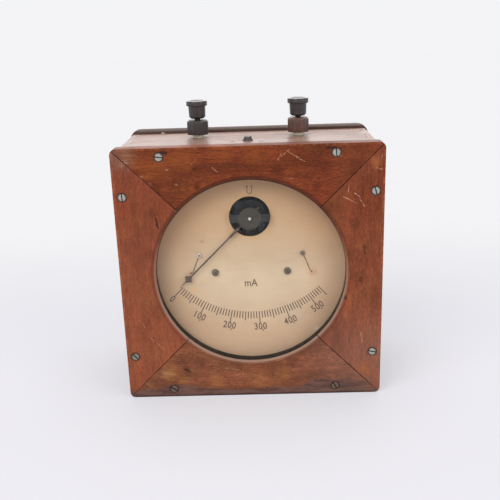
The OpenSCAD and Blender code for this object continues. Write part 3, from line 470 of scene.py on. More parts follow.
def plain_wood_finish(name, tone, along, seed, roughness, contrast, chips=(), painted_shadow_edge=0):
    """Varnished or faded boards of the case and the back; a painted shadow edge, where given, is the height of the
    strip of painted shadow on the back board beside the case, and the board above that strip gets a painted highlight.
    """
    finish = Finish(name)
    cloud, streak = wood_tones(finish, tone, along, seed, contrast)
    if painted_shadow_edge:
        y, tall = finish.y, abs(finish.z - HALF)
        out = finish.maths("MAXIMUM", abs(finish.x), tall)
        # Painted shadow on the back board's front face, up to that height, where it meets the case top
        shadow = out.ease(painted_shadow_edge, painted_shadow_edge + 1 * MM, 1, 0) * y.ease(BACK_Y + 2 * MM, BACK_Y + 5 * MM, 0.85, 0)
        finish.lay(shadow, shade(tone, 0.5, 0.1))
        # Painted highlight: the back board's top edge above the shadow strip is made paler and greyer
        painted_highlight = tall.ease(painted_shadow_edge + 0.3 * MM, painted_shadow_edge + 1.1 * MM, 0, 0.62)
        painted_highlight = painted_highlight * y.ease(BACK_Y + 4.5 * MM, BACK_Y + 7 * MM, 1, 0) * finish.z.ease(HALF, HALF * 1.5)
        finish.lay(painted_highlight, (0.15, 0.118, 0.105))
    if chips:
        ragged = finish.wander(500, 2, 0.003)
        for x, y, z, radius, chip_tone in chips:
            reach = finish.vector("DISTANCE", finish.place, (x * MM, y * MM, z * MM)) + ragged
            finish.lay(reach.ease_mm(radius * 0.4, radius * 1.3, 0.8, 0), chip_tone)
    rough = cloud.ease(0.3, 0.8, roughness, roughness + 0.1)
    return finish.shine(Roughness=rough, IOR=1.48, Specular_IOR_Level=0.22 if painted_shadow_edge else 0.5)


def metal_finish(name, tone, roughness, dull=0.35, metallic=1, rust=(0.16, 0.07, 0.03), scale=420):
    """Metal with fine brushing, dull patches and a little tarnish."""
    finish = Finish(name, tone)
    patches = finish.noise(scale, 4, 0.6)
    fine = finish.noise(scale * 5, 2, at=finish.stretch((1, 1, 9)))
    finish.lay(patches.ease(0.45, 0.72, 0, dull), shade(tone, 0.45))
    finish.lay(patches.ease(0.62, 0.78, 0, dull * 0.9), rust)
    finish.lay(fine.ease(0.4, 0.7, 0, 0.25), shade(tone, 1.35))
    finish.bump(fine, 0.12, 0.04 * MM)
    rough = patches.ease(0.3, 0.75, roughness, min(1, roughness + 0.3))
    return finish.shine(Roughness=rough, Metallic=metallic)


def jewel_screw_finish():
    """Polished brass, darkened round its rim so that only a small bright middle shines: a painted glint."""
    finish = Finish("bright_brass", (0.9, 0.84, 0.7))
    patches = finish.noise(700)
    reach = finish.distance(PIVOT[:])
    # Painted glint: all but the middle of the head is darkened
    finish.lay(reach.ease_mm(0.5, 1.2, 0, 0.85), (0.11, 0.095, 0.075))
    finish.lay(patches.ease(0.45, 0.7, 0, 0.35), (0.2, 0.17, 0.12))
    finish.bump(patches, 0.1, 0.03 * MM)
    return finish.shine(Metallic=1, Roughness=patches.ease(0.3, 0.75, 0.16, 0.34))


def stop_screw_finish():
    """Small screw heads of one steel in two tones: the left one painted bright as a glint, with a dark middle, the
    right one dull.
    """
    low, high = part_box("stop_screws")
    head_radius = 1.85 * MM
    finish = Finish("stop_screw_steel")
    patches = finish.noise(700)
    # Painted glint: the left head is given a bright tone, the right one a dull one
    finish.tint = finish.mix(finish.x.ease_mm(-5, 5), (0.66, 0.61, 0.55), (0.22, 0.19, 0.165))
    reach = finish.distance((low.x + head_radius, 0, (low.z + high.z) / 2))
    finish.lay(reach.ease_mm(0.5, 1.1, 0.75, 0), (0.1, 0.08, 0.07))
    finish.lay(patches.ease(0.45, 0.7, 0, 0.45), (0.16, 0.12, 0.09))
    finish.bump(patches, 0.1, 0.03 * MM)
    return finish.shine(Metallic=0.8, Roughness=patches.ease(0.3, 0.75, 0.34, 0.55))


def front_screw_finish(colours):
    """Screw heads with dirt and painted shade round their rims and in their slots, the bottom ones browned or greened.
    """
    finish = Finish("grey_steel", colours.steel)
    patches = finish.noise(520, 4)
    finish.lay(patches.ease(0.42, 0.7, 0, 0.65), shade(colours.steel, 0.4, 0.1))
    finish.lay(finish.z.ease_mm(8, 12, 0.85, 0), (0.115, 0.075, 0.045))
    lower_left = finish.x.ease_mm(-85, -80, 1, 0) * finish.z.ease_mm(60, 80, 1, 0)
    finish.lay(lower_left * 0.8, (0.2, 0.205, 0.155))
    # Dirt and painted shade round the rim of each head, where it sits in the wood
    for reach in screw_distances(finish):
        rim = reach.ease_mm(2.35, 2.95) * reach.ease_mm(5, 6, 0.92, 0)
        finish.lay(rim, (0.06, 0.032, 0.022))
    # Painted shade, with some dirt, on all that lies deeper than the heads' top faces: the slots and the heads' seated
    # sides
    finish.lay(finish.y.ease(FACE_Y + 0.22 * MM, FACE_Y + 0.34 * MM, 0, 0.92), (0.022, 0.016, 0.012))
    finish.bump(patches, 0.15, 0.05 * MM)
    return finish.shine(Metallic=0.75, Roughness=patches.ease(0.3, 0.75, 0.36, 0.62))


def ebonite_finish(name, tone, stain, roughness=0.3, crown=None):
    """Ebonite that has dulled, with handling marks, pale specks and dark stains."""
    finish = Finish(name)
    cloud = finish.noise(150, 5, 0.6)
    drops = finish.noise(330, at=finish.stretch((1, 1, 0.35), (0.4, 0.2, 0)))
    fine = finish.noise(1900, 2)
    finish.tint = finish.ramp(cloud, [(0.3, shade(tone, 0.72)), (0.52, tone), (0.74, shade(tone, 1.45, 0.04))])
    finish.lay(drops.ease(0.54, 0.66, 0, 0.75), stain)
    finish.lay(fine.ease(0.62, 0.74, 0, 0.35), shade(tone, 2.4))
    rough = cloud.ease(0.3, 0.75, roughness, roughness + 0.22)
    if crown is not None:
        top = finish.z.ease(crown - 0.75 * MM, crown - 0.55 * MM)
        rough = finish.mix(top, rough, (0.22, 0.22, 0.22))
    finish.bump(fine + cloud * 2, 0.1, 0.08 * MM)
    return finish.shine(Roughness=rough, IOR=1.6)


# Rust marks, specks and a pale patch on the dial: X, Z and radius in millimetres, then share and tone
PAPER_MARKS = (
    (48.3, 97.2, 3, 0.45, (0.56, 0.24, 0.12)), (-47.4, 98.9, 1.2, 0.8, (0.5, 0.17, 0.06)),
    (-46.4, 85, 1.9, 0.5, (0.72, 0.38, 0.16)), (-27, 133, 2.6, 0.3, (0.6, 0.34, 0.17)),
    (51, 49.5, 1.8, 0.45, (0.75, 0.66, 0.53)), (-37.6, 124.5, 0.8, 0.6, (0.42, 0.25, 0.14)),
    (-20, 126, 0.6, 0.5, (0.42, 0.25, 0.14)), (33, 62, 9, 0.18, (0.5, 0.47, 0.38)))


def paper_finish(colours):
    """Dial paper: cream in the middle, browned towards the rim, with foxing and rust marks, and painted light that
    makes its lower part paler and its upper part warmer.
    """
    finish = Finish("dial_paper")
    height = finish.z
    cloud = finish.noise(30, 5, 0.6)
    fibre = finish.noise(1500, 3, 0.7, at=finish.stretch((1, 1, 3)))
    sheet = finish.noise(55, 5, 0.65, at=finish.stretch((1, 1, 7)))
    reach = finish.distance((WINDOW.x, 0, WINDOW.z + 8 * MM))
    rim = (reach + (cloud - 0.5) * 0.03).ease(0.03, 0.082)
    finish.tint = finish.mix(rim, colours.paper, colours.paper_rim)
    # Painted light: the lower part of the dial is made paler and warmer, against the shade of the window's lip
    finish.lay(height.ease(0.028, 0.075, 1, 0) * 0.8, (0.71, 0.455, 0.292))
    # Painted light: the upper part is tinted warmer against the grey of its shade
    upper = height.ease(0.098, 0.14) * reach.ease(0.02, 0.058, 0.6, 1)
    finish.lay(upper, (0.96, 0.8, 0.66), "MULTIPLY")
    # Painted light: the lower half, most towards its rim, is made paler
    lower = height.ease(0.095, 0.112, 1, 0) * reach.ease(0.05, 0.068, 1, 0.25)
    finish.lay(lower, (1.11, 1.15, 1.18), "MULTIPLY")
    finish.lay(cloud.ease(0.35, 0.75, 0, 0.3), shade(colours.paper, 0.78))
    finish.lay(fibre.ease(0.4, 0.72, 0, 0.15), shade(colours.paper, 0.6))
    finish.lay(sheet.ease(0.38, 0.66, 0, 0.12), shade(colours.paper, 0.7))
    finish.lay(finish.noise(210).ease(0.66, 0.78, 0, 0.2), shade(colours.paper_rim, 0.85, 0.1))
    ragged = finish.wander(260, 4, 0.008)
    halo = finish.distance(PIVOT[:]) + ragged
    finish.lay(halo.ease(0.0155, 0.0225, 0.55, 0), (0.62, 0.36, 0.17))
    for x, z, radius, share, tone in PAPER_MARKS:
        finish.lay(finish.spot(x, z, radius, radius * 0.7, ragged) * share, tone)
    finish.bump(fibre, 0.08, 0.06 * MM)
    return finish.shine(Roughness=0.78, IOR=1.4)


def ink_finish(colours):
    """Printing ink that has faded unevenly into the paper."""
    finish = Finish("scale_ink", colours.ink)
    worn = finish.noise(1300)
    finish.lay(worn.ease(0.42, 0.72, 0, 0.3), (0.25, 0.17, 0.11))
    finish.lay(finish.noise(60, 2).ease(0.45, 0.7, 0, 0.3), shade(colours.ink, 1.7))
    finish.bump(worn, 0.1, 0.03 * MM)
    return finish.shine(Roughness=worn.ease(0.3, 0.7, 0.6, 0.8))


def glass_finish():
    """Clear glass that lets light and shadows through to the dial."""
    finish = Finish("clear_glass", (0.985, 0.992, 0.985))
    wave = finish.noise(45, 2)
    finish.lay(finish.noise(90, 4).ease(0.45, 0.75), (0.955, 0.965, 0.95))
    finish.bump(wave, 0.1, 0.04 * MM)
    finish.shine(Roughness=wave.ease(0.55, 0.8, 0, 0.02), IOR=1.26, Transmission_Weight=1)
    through = finish.maths("MAXIMUM", finish.ray("Is Shadow Ray"), finish.ray("Is Diffuse Ray"))
    clear = finish.add("ShaderNodeBsdfTransparent", {0: (0.97, 0.98, 0.97)})
    finish.show("Material Output", through, finish.surface.outputs[0], clear)
    return finish.material


def winding_finish(name, tone, pitch):
    """Enamelled wire: fine turns side by side along the depth of the piece, dark between the turns and light on them as
    painted shade and highlight.
    """
    finish = Finish(name)
    # At scale 1 the texture has a band every 0.314
    wave = finish.add("ShaderNodeTexWave", {"Vector": finish.place, "Scale": 0.314 / pitch, "Distortion": 0.4},
                      "Fac", wave_type="BANDS", bands_direction="Y", wave_profile="SIN")
    # Painted shade between the turns and painted highlight on them
    finish.tint = finish.mix(wave, shade(tone, 0.35), shade(tone, 1.2))
    finish.lay(finish.noise(260).ease(0.45, 0.7, 0, 0.4), shade(tone, 0.5))
    finish.bump(wave, 0.8, pitch * 0.4)
    return finish.shine(Roughness=0.3, Metallic=0.7)


def dress(nodes, material):
    """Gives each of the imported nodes, named with spaces between, the same finish."""
    for node in nodes.split():
        mesh = NODES[node].data
        mesh.materials.clear()
        mesh.materials.append(material)


def keep(piece, body, slot, material, *nodes):
    """Puts a finished piece on its body and hides the nodes that it stands for; the slot is not used."""
    piece.data.materials.clear()
    piece.data.materials.append(material)
    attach(piece, body)
    if nodes:
        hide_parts(*nodes)


def linked(name, data):
    """A new object in the scene, at the origin."""
    piece = bpy.data.objects.new(name, data)
    bpy.context.scene.collection.objects.link(piece)
    return piece


def solid(shape, name):
    """An object from a bmesh."""
    mesh = bpy.data.meshes.new(name)
    shape.to_mesh(mesh)
    shape.free()
    return linked(name, mesh)


def plain_mesh(source, name):
    """The evaluated object as a plain mesh object, with its modifiers in its mesh."""
    depsgraph = bpy.context.evaluated_depsgraph_get()
    mesh = bpy.data.meshes.new_from_object(source.evaluated_get(depsgraph))
    mesh.transform(source.matrix_world)
    mesh.name = name
    bpy.data.objects.remove(source)
    return linked(name, mesh)


def rounded(node, name, width, segments=3, weigh=None, corner=radians(30)):
    """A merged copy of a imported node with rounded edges; weigh gives each edge's share of the width."""
    shape = bmesh.new()
    shape.from_mesh(NODES[node].data)
    bmesh.ops.remove_doubles(shape, verts=shape.verts, dist=1e-6)
    bmesh.ops.dissolve_limit(shape, angle_limit=radians(0.6), verts=shape.verts, edges=shape.edges)
    bmesh.ops.recalc_face_normals(shape, faces=shape.faces)
    if weigh is not None:
        layer = shape.edges.layers.float.new("bevel_weight_edge")
        for edge in shape.edges:
            if len(edge.link_faces) == 2 and edge.calc_face_angle(0) > corner:
                edge[layer] = weigh((edge.verts[0].co + edge.verts[1].co) / 2, edge)
    source = solid(shape, name + "_source")
    bevel = source.modifiers.new("Edges", "BEVEL")
    bevel.width = width
    bevel.segments = segments
    bevel.limit_method = "ANGLE" if weigh is None else "WEIGHT"
    bevel.angle_limit = corner
    bevel.use_clamp_overlap = True
    piece = plain_mesh(source, name)
    piece.data.shade_smooth()
    piece.data.set_sharp_from_angle(angle=radians(28))
    return piece


def show(node, name, slot, material, *rounding, body="case", **options):
    """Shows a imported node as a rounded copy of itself."""
    keep(rounded(node, name, *rounding, **options), body, slot, material, node)


def front_edge_share(middle, edge):
    """Outer edges of a front board are worn most, its mitres and window least."""
    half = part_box("frame_right")[1].x
    inner = half - 6 * MM
    wide, tall = abs(middle.x), abs(middle.z - half)
    diagonal = Vector((wide - inner, tall - inner))
    outside = max(wide, tall) > half - 0.05 * MM or (min(diagonal) > 0 and diagonal.length > 4.2 * MM)
    along_depth = abs(edge.verts[0].co.y - edge.verts[1].co.y) > 1 * MM
    on_mitre = abs(wide - tall) < 1 * MM
    return 1 if outside and not along_depth and not on_mitre else 0.2


def text_mesh(body, height, narrow, thickness, weight):
    """Flat letters in X and Y, centred, of a given height."""
    digit_share = 0.73
    curve = bpy.data.curves.new("letters", "FONT")
    curve.body = body
    curve.align_x = "CENTER"
    curve.align_y = "CENTER"
    curve.size = height / digit_share
    curve.offset = weight
    curve.extrude = thickness / 2
    curve.resolution_u = 6
    piece = plain_mesh(linked("letters", curve), "letters")
    piece.data.transform(Matrix.Diagonal((narrow, 1, 1, 1)))
    low = min(v.co.y for v in piece.data.vertices)
    high = max(v.co.y for v in piece.data.vertices)
    piece.data.transform(Matrix.Translation((0, -(low + high) / 2, 0)))
    return piece


def on_dial(piece, move, turned, radius, depth):
    """Moves flat letters, then stands them on the dial, turned about the pivot, with their tops towards it."""
    piece.data.transform(Matrix.Translation((*move, 0)))
    across = Vector((cos(turned), 0, sin(turned)))
    up = Vector((-sin(turned), 0, cos(turned)))
    out = Vector((0, -1, 0))
    place = Vector((radius * sin(turned), depth, PIVOT.z - radius * cos(turned)))
    piece.data.transform(Matrix.Translation(place) @ Matrix((across, up, out)).transposed().to_4x4())
    return piece


def joined(pieces, name):
    """One object from several, all at the origin."""
    shape = bmesh.new()
    for piece in pieces:
        shape.from_mesh(piece.data)
        bpy.data.objects.remove(piece)
    return solid(shape, name)


class Pattern(Tree):
    """A Geometry Nodes tree with named inputs, made into a plain mesh."""

    def __init__(self, name, values):
        super().__init__(bpy.data.node_groups.new(name, "GeometryNodeTree"))
        self.values = {}
        kinds = {int: "NodeSocketInt", float: "NodeSocketFloat", tuple: "NodeSocketVector"}
        for label, value in values.items():
            socket = self.tree.interface.new_socket(label, in_out="INPUT", socket_type=kinds[type(value)])
            self.values[socket.identifier] = value
        self.tree.interface.new_socket("Geometry", in_out="OUTPUT", socket_type="NodeSocketGeometry")
        self.start = self.tree.nodes.new("NodeGroupInput")
        self.end = self.tree.nodes.new("NodeGroupOutput")

    def given(self, label):
        return Value(self, self.start.outputs[label])

    def make(self, geometry, material, name):
        real = self.add("GeometryNodeRealizeInstances", {"Geometry": geometry})
        self.put(self.end.inputs[0], self.add("GeometryNodeSetMaterial", {"Geometry": real, "Material": material}))
        source = linked(name + "_source", bpy.data.meshes.new(name))
        modifier = source.modifiers.new("Pattern", "NODES")
        modifier.node_group = self.tree
        for identifier, value in self.values.items():
            modifier[identifier] = value
        return plain_mesh(source, name)


def scale_lines(sizes, depth, material):
    """The scale's divisions: one thin bar a division, longer at every fifth and tenth and at the last."""
    nodes = Pattern("Scale lines", {
        "Divisions": sizes.divisions, "First angle": sizes.first_angle, "Step": sizes.division_angle,
        "Bend": sizes.division_bend, "Radius": sizes.scale_radius, "Short": sizes.short_line,
        "Middle": sizes.middle_line, "Long": sizes.long_line, "Width": sizes.line_width,
        "Thickness": sizes.ink_height, "Pivot": (PIVOT.x, depth, PIVOT.z)})
    given = nodes.given
    points = nodes.add("GeometryNodePoints", {"Count": given("Divisions") + 1})
    index = nodes.add("GeometryNodeInputIndex")
    fifth, tenth = (nodes.maths("LESS_THAN", nodes.maths("MODULO", index, every), 0.5) for every in (5, 10))
    full = nodes.maths("MAXIMUM", tenth, nodes.maths("COMPARE", index, given("Divisions")))
    line = given("Short") + fifth * (given("Middle") - given("Short")) + full * (given("Long") - given("Middle"))
    turned = given("First angle") + index * (given("Step") + index * given("Bend"))
    reach = given("Radius") + line * 0.5
    offset = nodes.point(reach * nodes.maths("SINE", turned), 0, reach * nodes.maths("COSINE", turned) * -1)
    place = nodes.add("ShaderNodeVectorMath", {0: offset, 1: given("Pivot")}, operation="ADD")
    moved = nodes.add("GeometryNodeSetPosition", {"Geometry": points, "Position": place})
    bar = nodes.add("GeometryNodeMeshCube", {"Size": nodes.point(given("Width"), given("Thickness"), 1)})
    bars = nodes.add("GeometryNodeInstanceOnPoints", {
        "Points": moved, "Instance": bar, "Rotation": nodes.point(y=turned * -1), "Scale": nodes.point(1, 1, line)})
    return nodes.make(bars, material, "scale_lines")


def scale_numbers(sizes, depth):
    """The numbers at every tenth division, each with its comma, and the unit."""
    height, thickness = sizes.number_height, sizes.ink_height
    pitch = height * 0.6
    letters = []
    for hundred in range(sizes.divisions // 10 + 1):
        index = 10 * hundred
        turned = sizes.first_angle + index * (sizes.division_angle + index * sizes.division_bend)
        digits = str(100 * hundred)
        for place, digit in enumerate(digits):
            shift = (place - (len(digits) - 1) / 2) * pitch
            letter = text_mesh(digit, height, 0.78, thickness, 0.14 * MM)
            letters.append(on_dial(letter, (shift, 0), turned, sizes.number_radius, depth))
        if hundred:
            comma = text_mesh(",", height * 0.85, 0.9, thickness, 0.13 * MM)
            letters.append(on_dial(comma, (pitch * 0.5, -height * 0.6), turned, sizes.number_radius, depth))
    unit = text_mesh("mA", 6.2 * MM, 0.85, thickness, 0.1 * MM)
    letters.append(on_dial(unit, (-0.6 * MM, 0), 0, PIVOT.z - 89.8 * MM, depth))
    return joined(letters, "scale_numbers")


def strip(points, width, thickness, depth, name):
    """A flat line of one width through points in X and Z."""
    shape = bmesh.new()
    rows = []
    for i, point in enumerate(points):
        before = points[max(i - 1, 0)]
        after = points[min(i + 1, len(points) - 1)]
        run = (Vector(after) - Vector(before)).normalized()
        side = Vector((-run.y, run.x)) * width / 2
        rows.append([shape.verts.new((point[0] + s * side.x, depth + t * thickness, point[1] + s * side.y))
                     for s, t in ((-1, -0.5), (1, -0.5), (1, 0.5), (-1, 0.5))])
    for a, b in zip(rows, rows[1:]):
        for k in range(4):
            shape.faces.new((a[k], a[(k + 1) % 4], b[(k + 1) % 4], b[k]))
    shape.faces.new(rows[0][::-1])
    shape.faces.new(rows[-1])
    bmesh.ops.recalc_face_normals(shape, faces=shape.faces)
    return solid(shape, name)


def magnet_sign(thickness, depth):
    """A small horseshoe, the usual sign of a permanent-magnet movement."""
    middle, low, top, radius = 0.4 * MM, 162.9 * MM, 167 * MM, 1.75 * MM
    points = [(middle - radius, top)]
    points += [(middle - radius * cos(a), low - radius * sin(a))
               for a in (pi * k / 12 for k in range(13))]
    points.append((middle + radius, top))
    parts = [strip(points, 0.62 * MM, thickness, depth, "bow")]
    for side in (-1, 1):
        x = middle + side * radius
        parts.append(strip([(x - 0.8 * MM, top), (x + 0.8 * MM, top)], 0.7 * MM, thickness, depth, "foot"))
    return joined(parts, "magnet_sign")


def dial_holes():
    """The two small holes beside the stop wires, as dark spots on the paper."""
    radius = 0.55 * MM
    shape = bmesh.new()
    for x, z in ((-47.25, 98.7), (47.1, 97.7)):
        place = Matrix.Translation((x * MM, DIAL_Y - 0.004 * MM, z * MM)) @ Matrix.Rotation(pi / 2, 4, "X")
        bmesh.ops.create_cone(shape, cap_ends=True, segments=20, radius1=radius, radius2=radius,
                              depth=0.016 * MM, matrix=place)
    return solid(shape, "dial_holes")


def add_lamp(name, place, aim, energy, size, size_y=None):
    """A soft lamp that the camera doesn't see, aimed at a height over the middle of the floor."""
    lamp = bpy.data.lights.new(name, "AREA")
    lamp.shape = "RECTANGLE" if size_y else "DISK"
    lamp.size = size
    if size_y:
        lamp.size_y = size_y
    lamp.energy = energy
    light = linked(name, lamp)
    light.location = place
    light.rotation_euler = (Vector((0, 0, aim)) - Vector(place)).to_track_quat("-Z", "Y").to_euler()
    light.visible_camera = False
    return light


class METER_OT_stage(bpy.types.Operator):
    """Set the floor, the soft light and the camera at the photograph's angle"""
    bl_idname = "meter.stage"
    bl_label = "Stage"

    def execute(self, context):
        scene = context.scene
        shape = bmesh.new()
        bmesh.ops.create_grid(shape, x_segments=1, y_segments=1, size=6)
        floor = solid(shape, "floor")
        finish = Finish("pale_floor", scene.meter_colours.floor)
        finish.shine(Roughness=0.9)
        reach = finish.vector("LENGTH", finish.place)
        away = finish.maths("MAXIMUM", finish.y.ease(0.08, 0.46), reach.ease(0.7, 2.2))
        pale = finish.mix(away, (0.835, 0.828, 0.872), BACKDROP)
        grain = finish.noise(25, 4).ease(0.3, 0.7, 0, 0.04)
        glow = finish.add("ShaderNodeEmission", {"Color": finish.mix(grain, pale, (0.7, 0.68, 0.66))})
        # Near the object the floor glows less, so that its shadow stays
        share = reach.ease(0.08, 0.6, 0.45, 1) * finish.seen()
        finish.show("Material Output", share, finish.surface.outputs[0], glow)
        floor.data.materials.append(finish.material)

        world = bpy.data.worlds.new("soft_room")
        scene.world = world
        world.use_nodes = True
        tree = Tree(world.node_tree)
        room = world.node_tree.nodes["Background"]
        tree.put(room.inputs["Color"], (0.97, 0.98, 1))
        tree.put(room.inputs["Strength"], 0.62)
        tree.show("World Output", tree.seen(), room.outputs[0], tree.add("ShaderNodeBackground", {"Color": BACKDROP}))

        add_lamp("key_light", (-0.75, -1.1, 1.25), aim=0.1, energy=17, size=1.3)
        add_lamp("fill_light", (1.1, -0.9, 0.9), aim=0.1, energy=7, size=1.2)
        add_lamp("top_light", (0.1, 0.35, 1.6), aim=0.1, energy=9, size=1.4)
        # A bright wall behind, low down: it shines on the case top and the knobs and lights nothing else
        add_lamp("rear_wall", (0, 1.5, 0.76), aim=0.2, energy=8.9, size=2.4, size_y=0.95).visible_diffuse = False

        lens = bpy.data.cameras.new("camera")
        lens.lens = 53.22
        lens.sensor_width = 36
        lens.shift_y = 0.04
        lens.clip_start = 0.01
        lens.clip_end = 50
        camera = linked("camera", lens)
        camera.location = (0.01, -0.584, 0.2841)
        camera.rotation_euler = Euler([radians(a) for a in (71.46462, 1.74017, 0.56624)], "XYZ")
        scene.camera = camera
        scene.view_settings.view_transform = "Standard"
        return {"FINISHED"}


class METER_OT_front(bpy.types.Operator):
    """Finish the four mitred front boards and their screws"""
    bl_idname = "meter.front"
    bl_label = "Front frame"

    def execute(self, context):
        sizes, colours = context.scene.meter_sizes, context.scene.meter_colours
        for side in ("top", "bottom", "left", "right"):
            show("frame_" + side, side + "_board", "front_mahogany", front_board_finish(side, colours),
                 sizes.board_round, 4, front_edge_share)
        show("frame_screws", "frame_screw_heads", "grey_steel", front_screw_finish(colours),
             sizes.metal_round, 2)
        return {"FINISHED"}


class METER_OT_case(bpy.types.Operator):
    """Finish the case, the back board, their nails and screws"""
    bl_idname = "meter.case"
    bl_label = "Case and back"

    def execute(self, context):
        colours = context.scene.meter_colours
        # The case top's pale tone is partly a bloom of the old varnish and partly a painted reflection of the bright
        # room; the rear_wall lamp gives the rest of its sheen
        bloom_and_sheen, pin_hole_shade = (0.285, 0.17, 0.13), (0.03, 0.02, 0.015)
        top_chips = [
            (-46.7, -6.2, CASE_TOP, 2.4, shade(colours.case_wood, 1.6)), (32.2, -0.7, CASE_TOP, 5, (0.15, 0.06, 0.06)),
            # The two pin holes are dark spots of painted shade on the flat top
            (-24, 14, CASE_TOP, 9, (0.25, 0.14, 0.13)), (-12.3, -12.7, CASE_TOP, 2.6, pin_hole_shade),
            (10, -11.9, CASE_TOP, 2.6, pin_hole_shade), (90, -7, CASE_TOP, 1.6, (0.05, 0.03, 0.02))]
        for side, along, seed, tone, contrast, chips in (
                ("top", "x", 4.2, bloom_and_sheen, 0.5, top_chips), ("bottom", "x", 5.1, colours.case_wood, 0.7, ()),
                ("left", "z", 6.3, colours.case_wood, 0.7, ()), ("right", "z", 7.7, colours.case_wood, 0.7, ())):
            finish = plain_wood_finish("case_mahogany_" + side, tone, along, seed, 0.36, contrast, chips)
            show("case_" + side, "case_" + side + "_board", "case_mahogany", finish, 0.3 * MM, 2)
        chips = [(-72.2, 42.5, 197.5, 1.4, (0.62, 0.48, 0.36)), (-71, 42.6, 197.2, 1, (0.55, 0.42, 0.32))]
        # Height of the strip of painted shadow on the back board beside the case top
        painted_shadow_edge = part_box("back_board")[1].z - HALF - 2.5 * MM
        back = plain_wood_finish("back_mahogany", colours.back_wood, "x", 8.4, 0.34, 1, chips, painted_shadow_edge)
        show("back_board", "back_panel", "back_mahogany", back, 0.25 * MM, 2)
        dress("case_nails", metal_finish("nail_steel", shade(colours.steel, 0.35), 0.45, dull=0.7))
        dress("back_screws", metal_finish("screw_steel", colours.steel, 0.36, dull=0.5))
        return {"FINISHED"}


class METER_OT_glass(bpy.types.Operator):
    """Finish the window glass and the ring that holds it"""
    bl_idname = "meter.glass"
    bl_label = "Glass"

    def execute(self, context):
        dress("window_glass", glass_finish())
        lacquer = context.scene.meter_colours.lacquer
        dress("glass_ring", metal_finish("ring_lacquer", lacquer, 0.5, dull=0.3, metallic=0.2))
        return {"FINISHED"}


class METER_OT_dial(bpy.types.Operator):
    """Finish the paper dial and print its scale, numbers, unit and magnet sign"""
    bl_idname = "meter.dial"
    bl_label = "Dial and scale"

    def execute(self, context):
        sizes, colours = context.scene.meter_sizes, context.scene.meter_colours
        dress("scale_plate", paper_finish(colours))
        ink = ink_finish(colours)
        depth = DIAL_Y - sizes.ink_height / 2 + 0.005 * MM
        for piece in (scale_lines(sizes, depth, ink), scale_numbers(sizes, depth),
                      magnet_sign(sizes.ink_height, depth)):
            keep(piece, "case", "dial_paper", ink)
        keep(dial_holes(), "case", "dial_paper", metal_finish("hole_shadow", (0.02, 0.015, 0.012), 0.8, metallic=0))
        return {"FINISHED"}


class METER_OT_movement(bpy.types.Operator):
    """Finish the pointer, the bridges, the magnet and the coil"""
    bl_idname = "meter.movement"
    bl_label = "Movement"

    def execute(self, context):
        metal_round, colours = context.scene.meter_sizes.metal_round, context.scene.meter_colours
        dress("magnet left_pole right_pole iron_core", metal_finish(
            "black_iron", colours.iron, 0.3, dull=0.5, metallic=0.6, rust=(0.05, 0.03, 0.02), scale=160))
        dress("front_bridge rear_bridge", metal_finish(
            "black_lacquer", colours.lacquer, 0.28, dull=0.4, metallic=0.3, rust=(0.03, 0.02, 0.015)))
        dress("movement_plate movement_posts dial_pillars rear_hairspring rear_jewel_screw zero_lever",
              metal_finish("pale_brass", colours.brass, 0.28, dull=0.3, rust=(0.2, 0.12, 0.05)))
        dress("front_hairspring balance_weights core_keeper",
              metal_finish("dark_bronze", (0.06, 0.048, 0.038), 0.4, dull=0.4, metallic=0.7))
        dress("left_stop_wire right_stop_wire",
              metal_finish("stop_wire_steel", (0.34, 0.21, 0.13), 0.5, dull=0.5, metallic=0.35))
        dress("magnet_screws pole_screws coil_staffs", metal_finish("plain_steel", colours.steel, 0.32))
        dress("coil_former", metal_finish("dark_former", (0.05, 0.055, 0.065), 0.4, dull=0.4, metallic=0.5))
        dress("coil_winding", winding_finish("coil_wire", colours.coil, 0.3 * MM))
        disc = metal_finish("disc_grey", (0.053, 0.044, 0.034), 0.46, dull=0.45, metallic=0.55,
                            rust=(0.05, 0.035, 0.025))
        show("bridge_disc", "pivot_disc", "grey_steel", disc, metal_round, 2)
        show("front_jewel_screw", "jewel_screw", "pale_brass", jewel_screw_finish(), 0.08 * MM, 2)
        pointer = metal_finish("pointer_lacquer", colours.pointer, 0.42, metallic=0.1,
                               rust=(0.03, 0.02, 0.018), scale=300)
        show("pointer", "needle", "black_aluminium", pointer, 0.05 * MM, 1, body="movement")
        dial_steel = metal_finish("dial_screw_steel", (0.19, 0.155, 0.12), 0.42, dull=0.6)
        show("dial_screws", "dial_screw_heads", "grey_steel", dial_steel, metal_round, 2)
        show("stop_screws", "stop_screw_heads", "grey_steel", stop_screw_finish(), metal_round, 2)
        return {"FINISHED"}


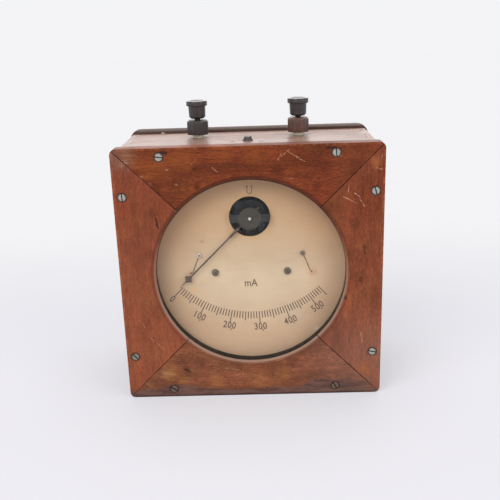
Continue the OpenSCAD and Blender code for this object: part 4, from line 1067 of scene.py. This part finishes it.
class METER_OT_terminals(bpy.types.Operator):
    """Finish the two terminals, the zero adjuster, the shunt and the leads"""
    bl_idname = "meter.terminals"
    bl_label = "Terminals"

    def execute(self, context):
        sizes, colours = context.scene.meter_sizes, context.scene.meter_colours
        brass = metal_finish("terminal_brass", colours.brass, 0.3, dull=0.25, rust=(0.22, 0.14, 0.06))
        # Pale cream washers: partly their own pale brass, partly painted light for faces that the base above them
        # shades
        pale = metal_finish("washer_brass", (0.95, 0.9, 0.72), 0.45, dull=0.1, metallic=0.12)
        dark = metal_finish("dark_brass", colours.stud, 0.45, dull=0.4, metallic=0.6)
        grey = ebonite_finish("black_ebonite", colours.ebonite, (0.018, 0.015, 0.013))
        brown = ebonite_finish("brown_ebonite", colours.brown_ebonite, (0.035, 0.018, 0.014))
        for side, slot, base in (("left", "black_ebonite", grey), ("right", "brown_ebonite", brown)):
            show(side + "_base", side + "_terminal_base", slot, base,
                 sizes.ebonite_round, 4, corner=radians(20))
            knob = ebonite_finish(side + "_knob_ebonite", colours.ebonite, (0.018, 0.013, 0.012),
                                  crown=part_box(side + "_knob")[1].z)
            show(side + "_knob", side + "_terminal_knob", "black_ebonite", knob,
                 sizes.ebonite_round, 4, body=side + "_knob")
            show(side + "_washer", side + "_terminal_washer", "pale_brass", pale, sizes.metal_round * 2)
            dress(side + "_nut", brass)
            dress(side + "_stud " + side + "_bush", dark)
            dress(side + "_lead", ebonite_finish(side + "_lead_rubber", (0.02, 0.018, 0.016), (0.01, 0.01, 0.01), 0.55))
        lacquer = metal_finish("adjuster_lacquer", (0.06, 0.048, 0.042), 0.26, dull=0.65, metallic=0.5)
        edge = sizes.metal_round * 1.5
        show("zero_adjuster", "zero_screw", "black_lacquer", lacquer, edge, body="zero_adjuster")
        show("zero_collar", "zero_screw_collar", "black_lacquer", lacquer, edge)
        dress("shunt_bobbin", ebonite_finish("bobbin_ebonite", (0.03, 0.026, 0.024), (0.015, 0.013, 0.012), 0.5))
        dress("shunt_winding", winding_finish("shunt_wire", colours.copper, 0.6 * MM))
        return {"FINISHED"}


class METER_PT_panel(bpy.types.Panel):
    bl_idname = "METER_PT_panel"
    bl_label = "Ammeter"
    bl_space_type = "VIEW_3D"
    bl_region_type = "UI"
    bl_category = "Ammeter"

    def draw(self, context):
        layout = self.layout
        for step in STEPS:
            layout.operator(step.bl_idname)
        for group in (context.scene.meter_sizes, context.scene.meter_colours):
            box = layout.box()
            for key in group.__annotations__:
                box.prop(group, key)


STEPS = (METER_OT_stage, METER_OT_front, METER_OT_case, METER_OT_glass, METER_OT_dial, METER_OT_movement,
         METER_OT_terminals)
CLASSES = (MeterSizes, MeterColours) + STEPS + (METER_PT_panel,)


def register():
    for item in CLASSES:
        bpy.utils.register_class(item)
    bpy.types.Scene.meter_sizes = bpy.props.PointerProperty(type=MeterSizes)
    bpy.types.Scene.meter_colours = bpy.props.PointerProperty(type=MeterColours)


def unregister():
    del bpy.types.Scene.meter_colours
    del bpy.types.Scene.meter_sizes
    for item in reversed(CLASSES):
        bpy.utils.unregister_class(item)


def main():
    register()
    bpy.ops.meter.stage()
    bpy.ops.meter.front()
    bpy.ops.meter.case()
    bpy.ops.meter.glass()
    bpy.ops.meter.dial()
    bpy.ops.meter.movement()
    bpy.ops.meter.terminals()


if __name__ == "__main__":
    main()
